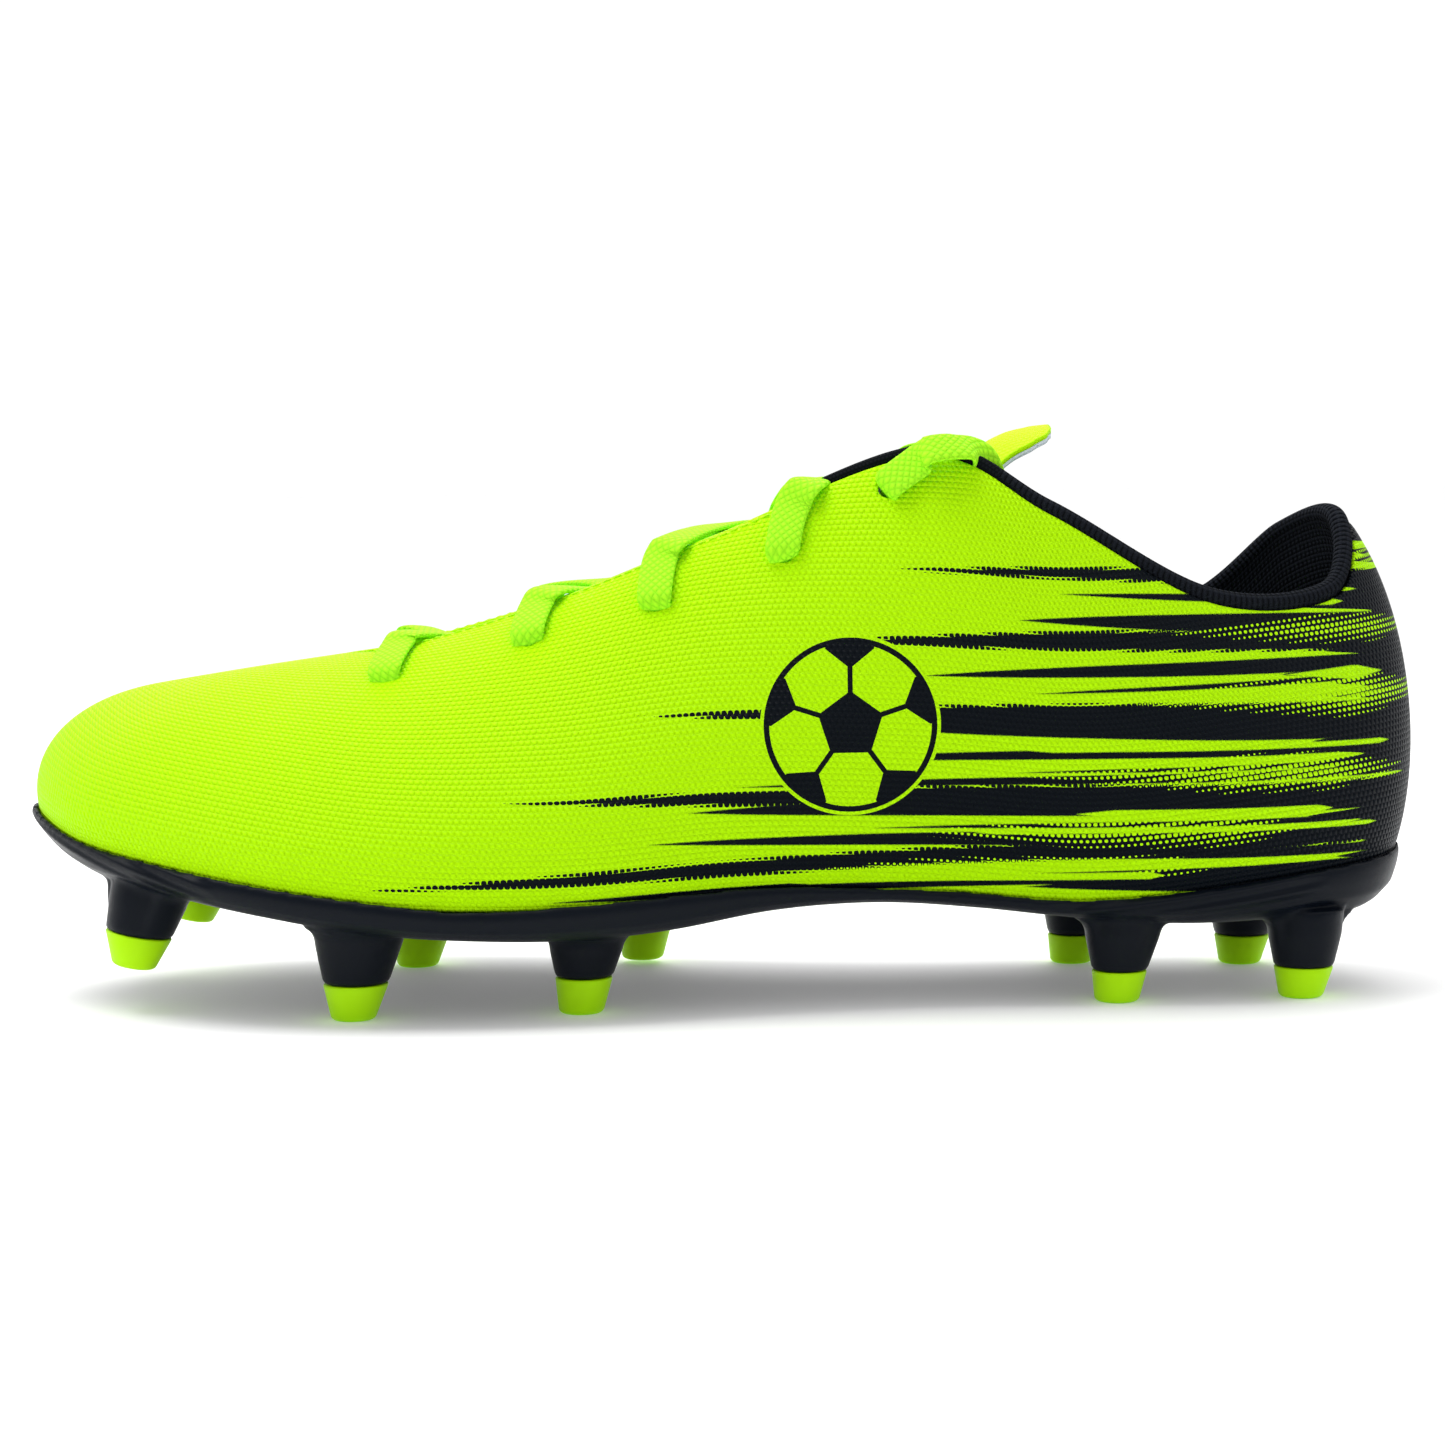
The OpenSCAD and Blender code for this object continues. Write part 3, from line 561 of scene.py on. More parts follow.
def coated_upper():
    """Embossed neon coating with the black print on it."""
    n = Nodes("coated_neon")
    run, rise = n.weave()
    bumps = n.pillow(run, rise, EMBOSS_PITCH)
    x, _, z = n.split(n.object_place())
    rough_edge = n.times(n.minus(n.noise(1100.0), 0.5), 0.9)
    zz = n.plus(z, rough_edge)
    solid = n.over(deepest(n, within_streak, STREAKS, x, zz), 0.0)
    reach = n.plus(x, n.times(n.noise(300.0), 4.0))
    for size, pace in FILL_WAVES:
        reach = n.times_plus(n.wave(n.times(z, pace)), size, reach)
    fill = n.over(reach, FILL_X)
    dotted = dots(n, n.times(deepest(n, within_streak, DOTTED, x, z), DOT_INK), bumps, DOT_LIMIT)
    black = n.more(n.more(solid, fill), dotted)
    open_flash = n.over(deepest(n, within_flash, FLASHES, x, zz), 0.0)
    spray = dots(n, n.times(deepest(n, within_flash, SPRAYS, x, z), SPRAY_INK), bumps, SPRAY_LIMIT)
    black = n.times(black, n.minus(1.0, n.more(open_flash, spray)))
    ball, lines = emblem(n, x, z)
    black = n.times(black, n.math("LESS_THAN", ball, -EMBLEM_CLEAR))
    mark = n.times(n.over(ball, 0.0), n.over(lines, 0.0))
    black = n.more(black, mark)
    tint = n.mix(n.noise(60.0), NEON, NEON_DEEP)
    colour = n.mix(black, tint, INK)
    roughness = n.times_plus(black, -0.08, 0.46)
    return n.finish(colour, roughness, n.bump(bumps, EMBOSS_DEPTH), Specular_IOR_Level=0.05)


def knit(name, colour, dark, pitch, ribbed=0.0, roughness=0.85, depth=0.12):
    """Fabric of small stitches, with painted shade darkening the hollows between them; ribbed is the distance
    between ribs, 0 for none.
    """
    n = Nodes(name)
    run, rise = n.weave()
    bumps = n.pillow(run, rise, pitch)
    if ribbed:
        ribs = n.size(n.wave(n.times(run, pi / ribbed)))
        bumps = n.times_plus(ribs, 2.0, bumps)
    # painted shade: the colour falls to dark where the bumps are low, in the hollows between stitches and
    # ribs
    shade = n.mix(n.times(bumps, 0.8, clamp=True), dark, colour)
    return n.finish(shade, roughness, n.bump(bumps, depth), Specular_IOR_Level=0.05)


def grainy(name, colour, dark, roughness, scale=900.0, depth=0.03, specular=0.4):
    """A plain stuff with a fine grain and faint patches."""
    n = Nodes(name)
    grain = n.noise(scale, 3.0)
    shade = n.mix(n.noise(40.0), dark, colour)
    rough = n.times_plus(grain, 0.1, roughness - 0.05)
    return n.finish(shade, rough, n.bump(grain, depth), Specular_IOR_Level=specular)


BRAID_PITCH = 1.7


def braid(name, colour, dark):
    """A flat braid: slanted stitches that cross to and fro, with painted shade in the grooves between them.
    """
    n = Nodes(name)
    run, girth = n.weave()
    a = n.share(n.plus(run, girth), BRAID_PITCH)
    b = n.share(n.minus(run, girth), BRAID_PITCH)
    ca = n.size(n.wave(n.times(a, pi)))
    cb = n.size(n.wave(n.times(b, pi)))
    stitch = n.times(ca, cb)
    # painted shade: darker in the grooves where the stitches dip
    shade = n.mix(n.math("POWER", stitch, 0.5), dark, colour)
    return n.finish(shade, 0.7, n.bump(stitch, 0.22), Specular_IOR_Level=0.08)


def sole_rubber():
    """Satin rubber with a fan of fine ridges at the toe and wavy ones beside the heel."""
    n = Nodes("sole_black")
    x, y, z = n.split(n.object_place())
    fan = n.wave(n.plus(n.times(z, 2.1), n.times(x, 0.75)))
    at_toe = n.times(n.minus(-97.0, x), 0.2, clamp=True)
    on_wall = n.times(n.minus(z, n.times_plus(x, -0.3, -8.0)), 0.6, clamp=True)
    at_toe = n.times(at_toe, on_wall)
    waves = n.wave(n.minus(n.times(z, 2.2), n.times(x, 0.3)))
    start = n.times(n.minus(x, 62.0), 0.1, clamp=True)
    at_heel = n.times(start, n.times(n.minus(122.0, x), 0.1, clamp=True))
    above = n.times(n.minus(z, 17.0), 0.4, clamp=True)
    ridges = n.plus(n.times(fan, at_toe), n.times(waves, at_heel))
    ridges = n.times(ridges, above)
    grain = n.noise(1500.0)
    colour = n.mix(n.noise(40.0), (0.0035, 0.006, 0.011), (0.002, 0.0035, 0.007))
    normal = n.bump(grain, 0.02, normal=n.bump(ridges, 0.3))
    return n.finish(colour, n.times_plus(grain, 0.1, 0.3), normal, Specular_IOR_Level=0.1)


MATERIALS = {
    "coated_neon": coated_upper(),
    "sole_black": sole_rubber(),
    "stud_neon": grainy("stud_neon", (0.50, 0.98, 0.0), (0.46, 0.92, 0.0), 0.42, specular=0.12),
    "black_mesh": knit("black_mesh", (0.010, 0.012, 0.017), (0.001, 0.0015, 0.002), (1.2, 0.85),
                       ribbed=1.2, depth=0.3),
    "black_binding": knit("black_binding", (0.008, 0.010, 0.013), (0.002, 0.003, 0.004), (0.8, 0.8)),
    "tongue_neon": knit("tongue_neon", NEON, NEON_DEEP, EMBOSS_PITCH, roughness=0.6, depth=0.1),
    "white_textile": knit("white_textile", (0.78, 0.87, 0.90), (0.62, 0.72, 0.77), (0.9, 0.8), depth=0.05),
    "stiffener": grainy("stiffener", (0.75, 0.75, 0.72), (0.66, 0.66, 0.62), 0.6),
    "foam": grainy("foam", (0.62, 0.62, 0.57), (0.5, 0.5, 0.46), 0.9, 400.0, 0.2),
    "board": grainy("board", (0.62, 0.55, 0.42), (0.50, 0.43, 0.31), 0.8),
    "insole_textile": knit("insole_textile", (0.024, 0.028, 0.034), (0.006, 0.007, 0.009), (0.9, 0.9)),
    "lace_neon": braid("lace_neon", (0.44, 1.0, 0.02), (0.26, 0.76, 0.01)),
    "aglet_plastic": grainy("aglet_plastic", (0.45, 0.95, 0.05), (0.40, 0.88, 0.04), 0.2),
}


def dress(obj, slot, body="shoe", nodes=(), finish=None):
    """Gives a piece its material, its body and the CAD nodes that it stands for."""
    obj.data.materials.clear()
    obj.data.materials.append(MATERIALS[finish or slot])
    if body:
        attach(obj, body)
    if nodes:
        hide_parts(*nodes)
    return obj


# ---- camera, floor and light
CAMERA_PLACE = np.array([0.0, -622.0, 105.5])
LOOK_DOWN, CAMERA_ROLL = 4.65, -0.6  # degrees


def add_camera():
    """A short telephoto view of the outer side."""
    data = bpy.data.cameras.new("camera")
    data.lens, data.sensor_width = 75.16, 36.0
    camera = bpy.data.objects.new("camera", data)
    link(camera)
    camera.location = Vector((CAMERA_PLACE + SHIFT) * MM)
    tilt, roll = radians(90 - LOOK_DOWN), radians(CAMERA_ROLL)
    camera.rotation_euler = (Matrix.Rotation(tilt, 3, "X") @ Matrix.Rotation(roll, 3, "Z")).to_euler()
    bpy.context.scene.camera = camera


def add_area_light(name, place, size, power):
    """A square light that faces the boot."""
    data = bpy.data.lights.new(name, "AREA")
    data.energy, data.size = power, size
    light = bpy.data.objects.new(name, data)
    light.location = place
    light.rotation_euler = (Vector((0, 0, 0.05)) - Vector(place)).to_track_quat("-Z", "Y").to_euler()
    link(light)


def map_range(tree, value, ends, first, last):
    """Fades a value between two numbers; ends names the side they belong to, From or To."""
    node = tree.nodes.new("ShaderNodeMapRange")
    node.inputs[ends + " Min"].default_value = first
    node.inputs[ends + " Max"].default_value = last
    tree.links.new(value, node.inputs["Value"])
    return node.outputs[0]


def light_the_world(tree):
    """White all round, darker low down in front of the boot, as a room is behind a photographer."""
    background = tree.nodes["Background"]
    direction = tree.nodes.new("ShaderNodeSeparateXYZ")
    tree.links.new(tree.nodes.new("ShaderNodeTexCoord").outputs["Generated"], direction.inputs[0])
    front = map_range(tree, direction.outputs["Y"], "From", 0.05, -0.5)
    low = map_range(tree, direction.outputs["Z"], "From", 0.8, 0.1)
    both = tree.nodes.new("ShaderNodeMath")
    both.operation = "MULTIPLY"
    tree.links.new(front, both.inputs[0])
    tree.links.new(low, both.inputs[1])
    tree.links.new(map_range(tree, both.outputs[0], "To", 1.03, 0.14), background.inputs["Strength"])
    background.inputs["Color"].default_value = (1.0, 1.0, 1.0, 1)


def add_studio():
    """A white floor with soft light from above."""
    world = bpy.data.worlds.new("studio")
    bpy.context.scene.world = world
    world.use_nodes = True
    light_the_world(world.node_tree)
    add_area_light("key", (-0.3, 0.05, 0.95), 0.6, 7)
    add_area_light("back", (0.1, 0.6, 0.8), 0.6, 3)
    bpy.ops.mesh.primitive_plane_add(size=40)
    floor = bpy.context.object
    floor.name = "floor"
    n = Nodes("floor")
    white = n.mix(n.noise(6.0), (0.90, 0.90, 0.90), (0.93, 0.93, 0.93))
    floor.data.materials.append(n.finish(white, 0.75, Emission_Color=(1, 1, 1, 1), Emission_Strength=0.14))
    bpy.context.scene.view_settings.view_transform = "Standard"


# ---- the upper and its layers
FINE_V = np.concatenate([np.linspace(0, 0.97, 66), [0.978, 0.985, 0.991, 0.996, 1.0]])


def hole(i, side):
    """Where hole i is on the upper: side is -1 for the outer side and 1 for the inner one."""
    u, v = EYELETS[i]
    return (u if side < 0 else N_RIBS - u), v


def punch(obj, radius):
    """Cuts the ten lace holes through a shell."""
    drills = []
    for u, v in [hole(i, side) for side in (-1, 1) for i in range(len(EYELETS))]:
        bpy.ops.mesh.primitive_cylinder_add(vertices=28, radius=radius * MM, depth=14 * MM)
        drill = bpy.context.object
        turn = Vector(skin_normal(u, v)).to_track_quat("Z", "Y").to_matrix().to_4x4()
        drill.matrix_world = Matrix.Translation(Vector((skin(u, v) + SHIFT) * MM)) @ turn
        drills.append(drill)
    cutter = join(drills)
    cut = obj.modifiers.new("holes", "BOOLEAN")
    cut.operation, cut.solver, cut.object = "DIFFERENCE", "EXACT", cutter
    apply_modifiers(obj)
    bpy.data.objects.remove(cutter)
    return shade_smooth(obj)


def rolled_off(u, v):
    """How far the outer corner of the upper's cut edge is rounded. There is no cut edge over the toe."""
    t = np.clip((v - 0.97) / 0.03, 0, 1)
    return np.where(is_closed(u), 0, 0.5 * (1 - np.sqrt(np.maximum(0, 1 - t**2))))


def at_depth(depth):
    """A surface that lies equally deep everywhere."""
    return lambda u, v: np.full(u.shape, depth)


def make_upper():
    """The wrap, all the way round. The weave starts afresh at toe and heel, so those ribs are drawn twice."""
    us = np.sort(np.append(np.arange(0, N_RIBS, 1 / 24), [TOE_RIB - 1e-6, N_RIBS - 1e-6]))
    upper = shell("upper_skin", us, FINE_V, rolled_off, at_depth(SKIN_T), ring=True)
    dress(punch(upper, EYELET_R), "coated_neon", nodes=["upper"])


def make_vamp_lining():
    """The white lining, from the collar on one side round the toe to the collar on the other."""
    us = np.arange(3.5, 16.5001, 1 / 12)
    vamp = shell("vamp_lining_knit", us, FINE_V, at_depth(LINING_OUT), at_depth(LINING_IN))
    dress(punch(vamp, EYELET_R - 0.1), "white_textile", nodes=["vamp_lining"])


def roll_line(us, radius):
    """The centre of a roll that sits on the top edge, over the upper and the lining."""
    ones = np.ones_like(us)
    depth = (LINING_IN + stuffing(us, ones)) / 2
    return layer(us, ones, depth) + (radius + 0.1)[:, None] * edge_up(us)


def make_collar():
    """The lining that rolls over the collar's edge: one closed loop at each place round the heel."""
    us = np.linspace(-3.42, 3.42, 300)
    radius = rim_radius(us)
    line = roll_line(us, radius)
    along_line = tangents(line)
    inward = unit(np.cross(along_line, edge_up(us)))
    up = np.cross(inward, along_line)
    rows = []
    for angle in np.linspace(-200, 10, 26):
        a = radians(angle)
        rows.append(line + radius[:, None] * (cos(a) * inward - sin(a) * up))
    wall_v = np.linspace(0.955, 0, 56)
    for depth, levels in ((LINING_IN, wall_v), (LINING_OUT, wall_v[::-1])):
        for v in levels:
            level = np.full_like(us, v)
            rows.append(layer(us, level, depth + stuffing(us, level)))
    points = np.stack(rows + rows[:1], 1)
    uv = np.stack(np.broadcast_arrays(run_along(line)[:, None], run_along(points, 1)), -1)
    obj = mesh_object("collar_knit", points.reshape(-1, 3), grid_faces(*points.shape[:2]), uv.reshape(-1, 2))
    weld(obj, cap=True)
    dress(obj, "black_mesh", nodes=["collar_lining", "collar_rim"])


def make_bindings():
    """The tape along the top line on each side, from the collar to the throat."""
    angles = circle(28)
    ring = np.stack([np.cos(angles), np.sin(angles)], -1) * BINDING_R
    for name, first, last in (("lateral", 3.26, 4.5), ("medial", 15.5, 16.74)):
        us = np.linspace(first, last, 60)
        path = roll_line(us, np.full(60, BINDING_R))
        forward = tangents(path)
        across = unit(np.cross(forward, edge_up(us)))
        roll = sweep("binding_" + name, path, across, np.cross(across, forward), lambda i: ring)
        dress(roll, "black_binding", nodes=["topline_binding_" + name])


STITCH_STEP, STITCH_LENGTH, STITCH_HALF_WIDTH = 2.3, 1.6, 0.3
STITCH_SIDES = 6


def stitch(ends, out, base):
    """One stitch, a short thread that tapers to both ends: its points, and its faces from point base on."""
    t = unit(ends[2] - ends[0])
    b = np.cross(t, out)
    points, faces = [], []
    for centre, width in zip(ends, (0.4 * STITCH_HALF_WIDTH, STITCH_HALF_WIDTH, 0.4 * STITCH_HALF_WIDTH)):
        points += [centre + width * (cos(a) * b + sin(a) * out) for a in circle(STITCH_SIDES)]
    for row in (base, base + STITCH_SIDES):
        for j in range(STITCH_SIDES):
            k = (j + 1) % STITCH_SIDES
            faces.append((row + j, row + k, row + STITCH_SIDES + k, row + STITCH_SIDES + j))
    faces.append(tuple(base + j for j in range(STITCH_SIDES - 1, -1, -1)))
    faces.append(tuple(base + 2 * STITCH_SIDES + j for j in range(STITCH_SIDES)))
    return points, faces


def make_stitches():
    """A row of stitches just inside the throat's edge, on both sides."""
    points, faces = [], []
    for side in (-1, 1):
        us = np.linspace(4.62, 7.5, 600)
        us = us if side < 0 else N_RIBS - us
        line = layer(us, np.full_like(us, 0.985), -0.05) - edge_up(us)
        run = run_along(line)
        for start in np.arange(0, run[-1] - STITCH_LENGTH, STITCH_STEP):
            steps = (start, start + STITCH_LENGTH / 2, start + STITCH_LENGTH)
            ends = [np.array([np.interp(d, run, line[:, k]) for k in range(3)]) for d in steps]
            thread = stitch(ends, skin_normal(np.interp(start, run, us), 0.98), len(points))
            points += thread[0]
            faces += thread[1]
    dress(mesh_object("throat_stitches", points, faces), "stud_neon")


# ---- tongue
TONGUE_X = [-88, -74, -62, -49, -34, -18, -1, 20, 33, 42, 50, 57, 62.5, 66, 67.3]
TONGUE_Z = [62.6, 64.6, 67.4, 71.6, 77.4, 84.5, 92.2, 100.4, 104.3, 106.4, 109.4, 113.4, 115, 115.5, 115.6]
TONGUE_HALF_WIDTH = [9, 12, 16, 19, 20, 20, 20.2, 21.5, 22.5, 22.5, 20.4, 16.6, 13.7, 10.6, 7]
TONGUE_ARCH = [0.02, 0.02, 0.02, 0.0175, 0.0185, 0.0195, 0.021, 0.019, 0.0175, 0.0175] + [0.0178] * 5
HINGE_X, HINGE_Z = 50.0, 109.4
TONGUE_FACE_T, TONGUE_PAD_T, TONGUE_GAP = 1.0, 2.0, 0.03
TONGUE_SLOPE = 1.06  # the tongue slopes, so it is this much longer than its shadow


def between(values, x):
    """A value listed at TONGUE_X, read at x."""
    knots, values = np.asarray(TONGUE_X, float), np.asarray(values, float)
    last = len(knots) - 1
    i = np.clip(np.searchsorted(knots, x, side="right") - 1, 0, last - 1)
    return catmull_at(values, i, (x - knots[i]) / (knots[i + 1] - knots[i]))


def tongue_top(x, y):
    """The height of the tongue's face, which arches across the foot."""
    return between(TONGUE_Z, x) - between(TONGUE_ARCH, x) * y * y


def tongue_layer(name, outer, inner, slot, nodes, thin_tip=1.0, finish=None):
    """One layer of the tongue in one piece; thin_tip is its share of the thickness past the fold."""
    x, s = np.meshgrid(np.linspace(TONGUE_X[0], TONGUE_X[-1], 260), np.linspace(-1, 1, 61), indexing="ij")
    sheets, maps = [], []
    share = 1 - (1 - thin_tip) * np.clip((x - HINGE_X + 6) / 12, 0, 1)
    for depth in (outer, outer + (inner - outer) * share):
        y = s * (between(TONGUE_HALF_WIDTH, x) - 0.3 * depth)
        sheets.append(np.stack([x, y, tongue_top(x, y) - TONGUE_SLOPE * depth], -1).reshape(-1, 3))
        maps.append(np.stack([x * TONGUE_SLOPE, y], -1).reshape(-1, 2))
    n, m = x.shape
    side = n * m
    spots = np.arange(side).reshape(n, m)
    edge = np.concatenate([spots[:, 0], spots[-1, 1:], spots[-2::-1, -1], spots[0, -2:0:-1]])
    wall = np.stack([edge, np.roll(edge, -1), side + np.roll(edge, -1), side + edge], -1)
    faces = np.concatenate([grid_faces(n, m), grid_faces(n, m, flip=True, start=side), wall])
    obj = weld(mesh_object(name, np.concatenate(sheets), faces, np.concatenate(maps)))
    dress(obj, slot, body=None, nodes=nodes, finish=finish)
    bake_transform(obj)
    return obj


def make_tongue():
    """The tongue's face and its white padding, each in one piece over the fold."""
    tongue_layer("tongue_skin", 0.0, TONGUE_FACE_T, "coated_neon", ["tongue_face", "tongue_tip_face"],
                 finish="tongue_neon")
    pad_top = TONGUE_FACE_T + TONGUE_GAP
    pad = tongue_layer("tongue_pad", pad_top, pad_top + TONGUE_PAD_T, "white_textile",
                       ["tongue_padding", "tongue_tip_padding"], thin_tip=0.5)


# ---- lace
DROP_LATERAL = [[41, -27, 110.4], [46.5, -26.2, 111], [50.8, -23.4, 109.8], [54.4, -20.2, 104], [57, -20, 92],
                [60, -20, 80], [62, -20.5, 62], [64, -20, 44], [68, -18.5, 32]]
LIE_LATERAL = [[76, -16.5], [88, -13.5], [99, -9], [105, -2], [103, 5], [94, 9], [78, 9.5], [60, 9],
               [42, 7], [24, 5], [6, 3], [-10, 1.5], [-26, 0.5]]
DROP_MEDIAL = [[41, 29, 109.4], [46.5, 28.2, 110], [50.8, 25.4, 108.9], [54.4, 22, 103], [57, 21.4, 91],
               [58.5, 21.5, 80], [57.5, 21.5, 62], [55, 21, 45], [51, 20, 34]]
LIE_MEDIAL = [[41, 19], [22, 18], [2, 18], [-20, 19], [-42, 18], [-60, 15], [-73, 8], [-76, -2],
              [-68, -11], [-52, -15], [-36, -16], [-20, -16.5], [-4, -16]]
UP = np.array([0.0, 0.0, 1.0])
LACE_WIDTH, LACE_THICKNESS = 7.4, 1.5
BUNCHED_WIDTH, BUNCHED_THICKNESS = 3.4, 2.4  # where the band is squeezed through a hole
DROP_SLANTS = (1.1, 1.0, 0.9)  # how the band turns down as it goes over the top line
PATH_STEPS = 10


def insole_top(x):
    """The height of the insole's face."""
    return float(along(BED_Z, x)) + 0.25 + BOARD_T + INSOLE_T


def crossing(i, side, lift):
    """From a hole on one side, over that edge and under the other, to the next hole there.
    Each row is a point, the way its flat face looks, and how flat the band is there."""
    (ua, va), (ub, _) = hole(i, side), hole(i + 1, -side)
    na, nb = skin_normal(ua, va), skin_normal(ub, 0.9)
    over = layer(ua + side * 0.12, 1, -0.5) + 1.4 * UP
    under = layer(ub + side * 0.1, 0.96, LACE_IN + 0.3)
    mid = (over + under) / 2
    mid[2] = tongue_top(mid[0], mid[1]) + LACE_R + lift
    return [
        (layer(ua, va, LACE_IN), None, 0.2), (layer(ua, va, -LACE_R - 0.2), na, 0.9),
        (layer(ua + side * 0.05, 0.93, -LACE_R - 0.4), na, 1.0), (over, unit(na + UP), 1.0),
        (mid, UP, 1.0), (under, nb, 0.8),
    ]


def half_lace(side):
    """The four crossings of one half, and its way out of the last hole and over the edge there."""
    rows = []
    for i in range(4):
        rows += crossing(i, side if i % 2 == 0 else -side, 1.6 if side < 0 else 0.0)
    u, v = hole(4, side)
    rows += [(layer(u, v, LACE_IN), None, 0.2), (layer(u, v, -LACE_R - 0.2), skin_normal(u, v), 0.9),
             (layer(u + side * 0.16, 0.96, -LACE_R - 0.4), skin_normal(u, v), 1.0)]
    return rows


def bar():
    """The straight piece between the first two holes, which lies on the tongue."""
    u, v = EYELETS[0]
    x = float(layer(u, v, LACE_IN)[0])
    return [(np.array([x, y, float(tongue_top(x, y)) + LACE_R + 0.5]), UP, 0.6) for y in (-7, 3, 13)]


def tail(drop, lie):
    """One end: over the top line, down inside the boot, and along the insole."""
    rows = []
    for i, p in enumerate(drop):
        wall = np.array([0, -np.sign(p[1]), 0.0])
        over_top = i < len(DROP_SLANTS)
        face = unit(UP - DROP_SLANTS[i] * wall) if over_top else -wall
        rows.append((np.array(p, float), face, 0.9 if over_top else 0.5))
    for x, y in lie:
        rows.append((np.array([x, y, insole_top(x) + LACE_R + 1.4]), UP, 1.0))
    return rows


def lace_rows():
    """The whole lace, from its end on the outer side to its end on the inner one."""
    lateral, medial = tail(DROP_LATERAL, LIE_LATERAL), tail(DROP_MEDIAL, LIE_MEDIAL)
    return lateral[::-1] + half_lace(-1)[::-1] + bar() + half_lace(1) + medial


def lay_band(rows, forward):
    """The way across the band at each point of its path, and how flat it is there."""
    count = len(forward)
    spot = np.minimum(np.arange(count) / PATH_STEPS, len(rows) - 1)
    low = np.floor(spot).astype(int)
    high = np.minimum(low + 1, len(rows) - 1)
    share = spot - low
    flat = np.array([row[2] for row in rows])
    flatness = flat[low] * (1 - share) + flat[high] * share
    across = np.zeros_like(forward)
    for i in range(count):
        previous = across[i - 1] if i else None
        a, b = rows[low[i]][1], rows[high[i]][1]
        width = previous
        if a is not None and b is not None:
            width = np.cross(forward[i], a * (1 - share[i]) + b * share[i])
        if np.linalg.norm(width) < 0.2:
            width = previous
        width = unit(width - np.dot(width, forward[i]) * forward[i])
        if i and np.dot(width, previous) < 0:
            width = -width
        across[i] = unit(0.6 * previous + 0.4 * width) if i else width
    return unit(across - np.sum(across * forward, 1, keepdims=True) * forward), flatness


def make_lace():
    """One flat band through all the holes, which bunches up where it goes through one."""
    rows = lace_rows()
    path = smooth_path([row[0] for row in rows], PATH_STEPS)
    forward = tangents(path)
    across, flatness = lay_band(rows, forward)
    angles = circle(24)
    c, s = np.cos(angles), np.sin(angles)
    side_ways, up_ways = np.sign(c) * np.abs(c) ** 0.8, np.sign(s) * np.abs(s) ** 0.7

    def outline(i):
        wide = (BUNCHED_WIDTH + (LACE_WIDTH - BUNCHED_WIDTH) * flatness[i]) / 2
        thick = (BUNCHED_THICKNESS + (LACE_THICKNESS - BUNCHED_THICKNESS) * flatness[i]) / 2
        return np.stack([wide * side_ways, thick * up_ways], -1)

    lace = sweep("lace_band", path, across, np.cross(across, forward), outline)
    dress(lace, "lace_neon", nodes=["lace"])


# ---- sole
# Studs: name, place of the tip's face, lean in degrees, height of the coloured tip
STUD_PLACES = [
    ("lateral_1", -118.4, -24, 9.2, 11, 6.8), ("lateral_2", -73.2, -35, 0, 0, 7.2),
    ("lateral_3", -28.6, -30, 0, 0, 7.2), ("lateral_4", 78.5, -23, 0, 0, 6.3),
    ("lateral_5", 116, -20, 0, 0, 6.3),
    ("medial_1", -115, 25, 11.5, 11, 6.8), ("medial_2", -67, 30, 0, 0, 7.2), ("medial_3", -18, 31, 1, 0, 7.2),
    ("medial_4", 75, 26, 0, 0, 6.3), ("medial_5", 111, 23, 0, 0, 6.3),
]
STUD_JOINT_R = [6.7, 6.5, 5.8, 5.6, 6.0] * 2
TIP_R, CORE_R, CORE_H = 4.6, 3.0, 3.5
STUD_FLARE, STUD_TAPER = 3.5, 0.27
STUD_SIDES = 72
LEAST_PEDESTAL_R = TIP_R + 2.4
UPRIGHT_SLANT = 0.09  # the studs that stand on the ground slope back a little as they rise


def foot_normal(u):
    """The level way out of the foot outline."""
    t = rail(u + SLOPE_STEP, 0) - rail(u - SLOPE_STEP, 0)
    return unit(np.stack([-t[..., 1], t[..., 0], 0 * t[..., 0]], -1))


def disc(name, rows):
    """A flat piece that fills the foot outline, from rows of (offset outwards, height at x).
    The first and last rows are its middle line, whatever their offset."""
    columns = 360
    us = np.arange(columns) * N_RIBS / columns
    a, b = rail(us, 0), rail(N_RIBS - us, 0)
    middle = np.stack([0.74 * (a[:, 0] + b[:, 0]) / 2, (a[:, 1] + b[:, 1]) / 2, 0 * us], -1)
    points = []
    for k, (offset, height) in enumerate(rows):
        out = offset(us) if callable(offset) else offset + 0 * us
        ring = middle.copy() if k in (0, len(rows) - 1) else a + out[:, None] * foot_normal(us)
        ring[:, 2] = height(ring[:, 0])
        points.append(ring)
    points = np.stack(points, 1).reshape(-1, 3)
    faces = grid_faces(columns, len(rows), ring=True)
    return weld(mesh_object(name, points, faces, points[:, :2]))


def heelness(u):
    """1 at the back of the heel, and 0 from one and a half ribs away on."""
    return bell(from_heel(u) / 1.5) ** 2


def tuck(u):
    """How much the sole's wall draws in under the foot: more at the toe, a little more at the heel."""
    return 1 + 1.5 * bell(np.abs(u - TOE_RIB) / CLOSED_RIBS) ** 2 + 0.3 * heelness(u)


def clearance(x, y, inset):
    """How far the inset outline of the sole is from (x, y), in each direction round a stud."""
    us = np.arange(400) * N_RIBS / 400
    ring = rail(us, 0)[:, :2] - inset(us)[:, None] * foot_normal(us)[:, :2] - [x, y]
    angle, reach = np.arctan2(ring[:, 1], ring[:, 0]), np.linalg.norm(ring, axis=1)
    order = np.argsort(angle)
    return np.interp(circle(STUD_SIDES), angle[order], reach[order], period=2 * np.pi)


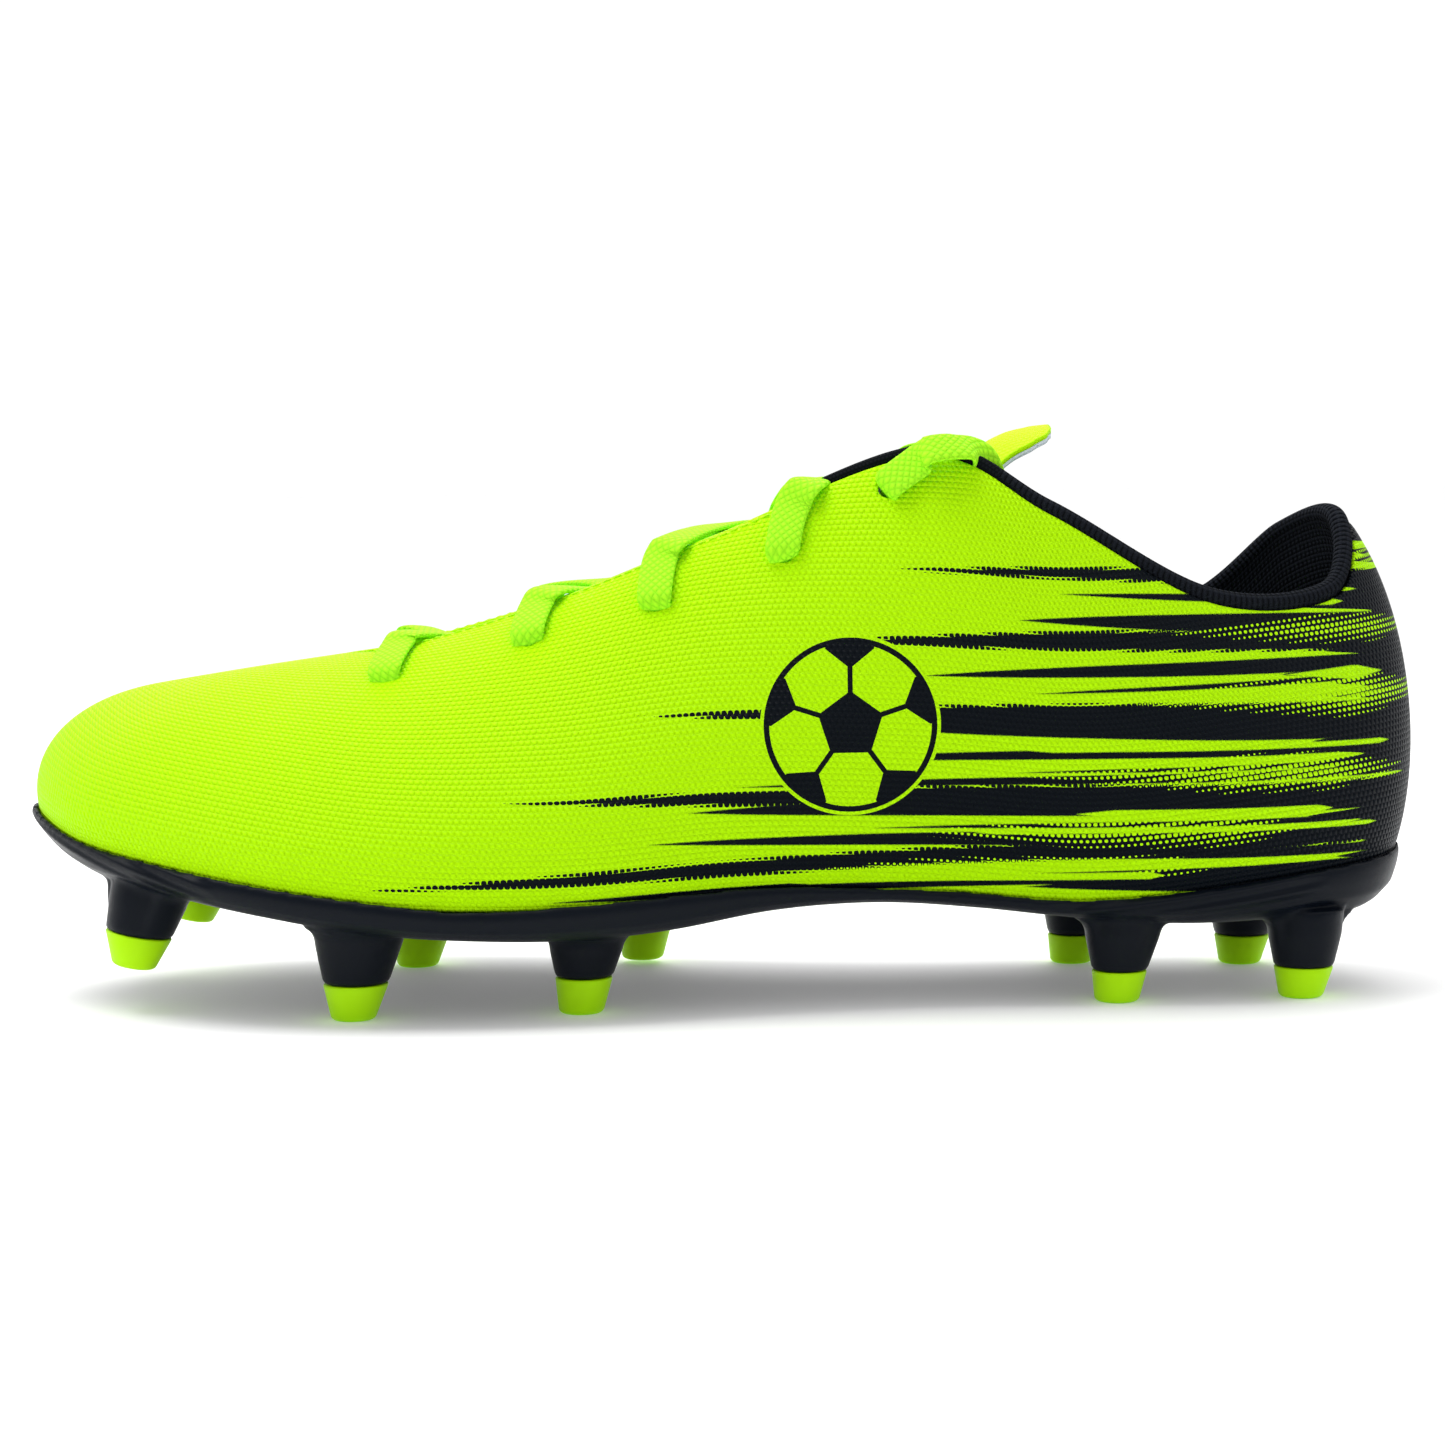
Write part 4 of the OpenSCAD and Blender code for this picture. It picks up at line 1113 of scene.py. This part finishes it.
def turned(name, profile, place, lean, limit=None):
    """A solid of revolution standing at place, leaning by lean degrees. limit holds each side in."""
    r, z = np.array(profile, float).T
    angles = circle(STUD_SIDES)[:, None]
    radius = np.tile(r, (STUD_SIDES, 1))
    if limit is not None:
        radius = np.minimum(radius, np.maximum(limit, LEAST_PEDESTAL_R)[:, None])
    ring = np.stack([radius * np.cos(angles), radius * np.sin(angles), z + 0 * angles], -1)
    c, s = cos(radians(lean)), sin(radians(lean))
    turn = np.array([[c, 0, s], [0, 1, 0], [-s, 0, c]])
    points = ring.reshape(-1, 3) @ turn.T + np.array(place, float)
    if lean == 0:
        points[:, 0] += UPRIGHT_SLANT * (points[:, 2] - place[2])
    return weld(mesh_object(name, points, grid_faces(STUD_SIDES, len(profile), ring=True)))


def arc(cx, cz, r, a0, a1, n):
    """Points on a round corner, with its angles in degrees."""
    angles = [radians(a) for a in np.linspace(a0, a1, n)]
    return [(cx + r * cos(a), cz + r * sin(a)) for a in angles]


def above(heights, lift):
    """A height that lies so much above a listed one."""
    return lambda x: along(heights, x) + lift


def plate_rows():
    """The plate's section, from the middle of its bed out round the rim and back underneath."""
    def down(share):
        return lambda x: (1 - share) * along(EDGE_Z, x) + share * along(UNDER_Z, x)

    def out(flat, tucked, at_heel):
        return lambda u: flat - tucked * tuck(u) - at_heel * heelness(u)

    return [
        (0, above(BED_Z, 0)), (-4.2, above(BED_Z, 0)), (-3.4, above(EDGE_Z, -1.25)),
        (0.1, above(EDGE_Z, -1.25)), (0.65, down(0)), (out(1.5, 0, 0.5), above(EDGE_Z, -0.1)),
        (out(1.9, 0, 0.9), above(EDGE_Z, -1.6)),
        (out(2.1, 0.2, 1.4), down(0.35)), (out(2, 0.9, 1.4), down(0.62)), (out(0.9, 2.2, 1.4), down(0.85)),
        (out(-0.2, 3.1, 1.4), down(0.95)), (out(-1.5, 4.2, 1.4), down(1)), (out(-8, 5, 1.4), down(1)),
        (0, above(UNDER_Z, 0.2)),
    ]


def make_pedestal(k):
    """The black part of a stud, which flares into the plate and stays inside its outline."""
    name, x, y, z, lean, tip_h = STUD_PLACES[k]
    top = float(along(UNDER_Z, x)) - z + 2
    flare_z = top - 1.6 - STUD_FLARE
    wall = STUD_JOINT_R[k] + STUD_TAPER * (flare_z - tip_h)
    profile = [(0, tip_h + 0.03), (STUD_JOINT_R[k] - 0.3, tip_h + 0.03), (STUD_JOINT_R[k], tip_h + 0.3)]
    profile += arc(wall + STUD_FLARE, flare_z, STUD_FLARE, 180, 108, 10)
    profile += [(wall + STUD_FLARE * 0.8, top), (0, top)]
    limit = clearance(x + top * sin(radians(lean)), y, lambda u: 1.8 + 1.5 * tuck(u))
    return turned("pedestal_" + name, profile, (x, y, z), lean, limit)


def make_outsole():
    """The plate and its ten pedestals, in one smooth moulding."""
    plate = join([disc("outsole_body", plate_rows())] + [make_pedestal(k) for k in range(len(STUD_PLACES))])
    remesh = plate.modifiers.new("one_shot", "REMESH")
    remesh.mode, remesh.voxel_size = "VOXEL", 0.6 * MM
    smooth = plate.modifiers.new("flow", "SMOOTH")
    smooth.factor, smooth.iterations = 0.5, 5
    apply_modifiers(plate)
    shade_smooth(plate)
    dress(plate, "sole_black", nodes=["outsole_plate"])


def make_stud_tips():
    """The coloured tips, each with a core that reaches up into its pedestal."""
    for k, (name, x, y, z, lean, tip_h) in enumerate(STUD_PLACES):
        r = STUD_JOINT_R[k]
        profile = [(0, 0)] + arc(TIP_R - 1.2, 1.2, 1.2, -90, -15, 6)
        profile += [(r - 0.12, tip_h - 0.35), (r - 0.3, tip_h)]
        profile += [(CORE_R, tip_h), (CORE_R, tip_h - CORE_H), (0, tip_h - CORE_H)]
        dress(turned("tip_" + name, profile, (x, y, z), lean), "stud_neon", nodes=["stud_tip_" + name])


def make_insole():
    """A soft sheet that fills the bed, a little thicker near its rounded edge."""
    section = [(0, 5.75), (-9, 5.75), (-6.5, 5.85), (-5.2, 5.6), (-4.6, 5.05), (-4.8, 1.75), (0, 1.75)]
    insole = disc("insole_pad", [(offset, above(BED_Z, lift)) for offset, lift in section])
    dress(insole, "insole_textile", nodes=["insole"])


def dress_hidden_pieces():
    """Pieces that are closed in by others keep their CAD solids."""
    for piece in frame["record"]["subparts"]:
        solid = frame["nodes"][piece["node"]]
        if not solid.hide_render:
            solid.data.materials.clear()
            solid.data.materials.append(MATERIALS[piece["material_slot"]])


add_camera()
add_studio()
make_lace()
make_upper()
make_vamp_lining()
make_collar()
make_bindings()
make_stitches()
make_tongue()
make_outsole()
make_stud_tips()
make_insole()
dress_hidden_pieces()
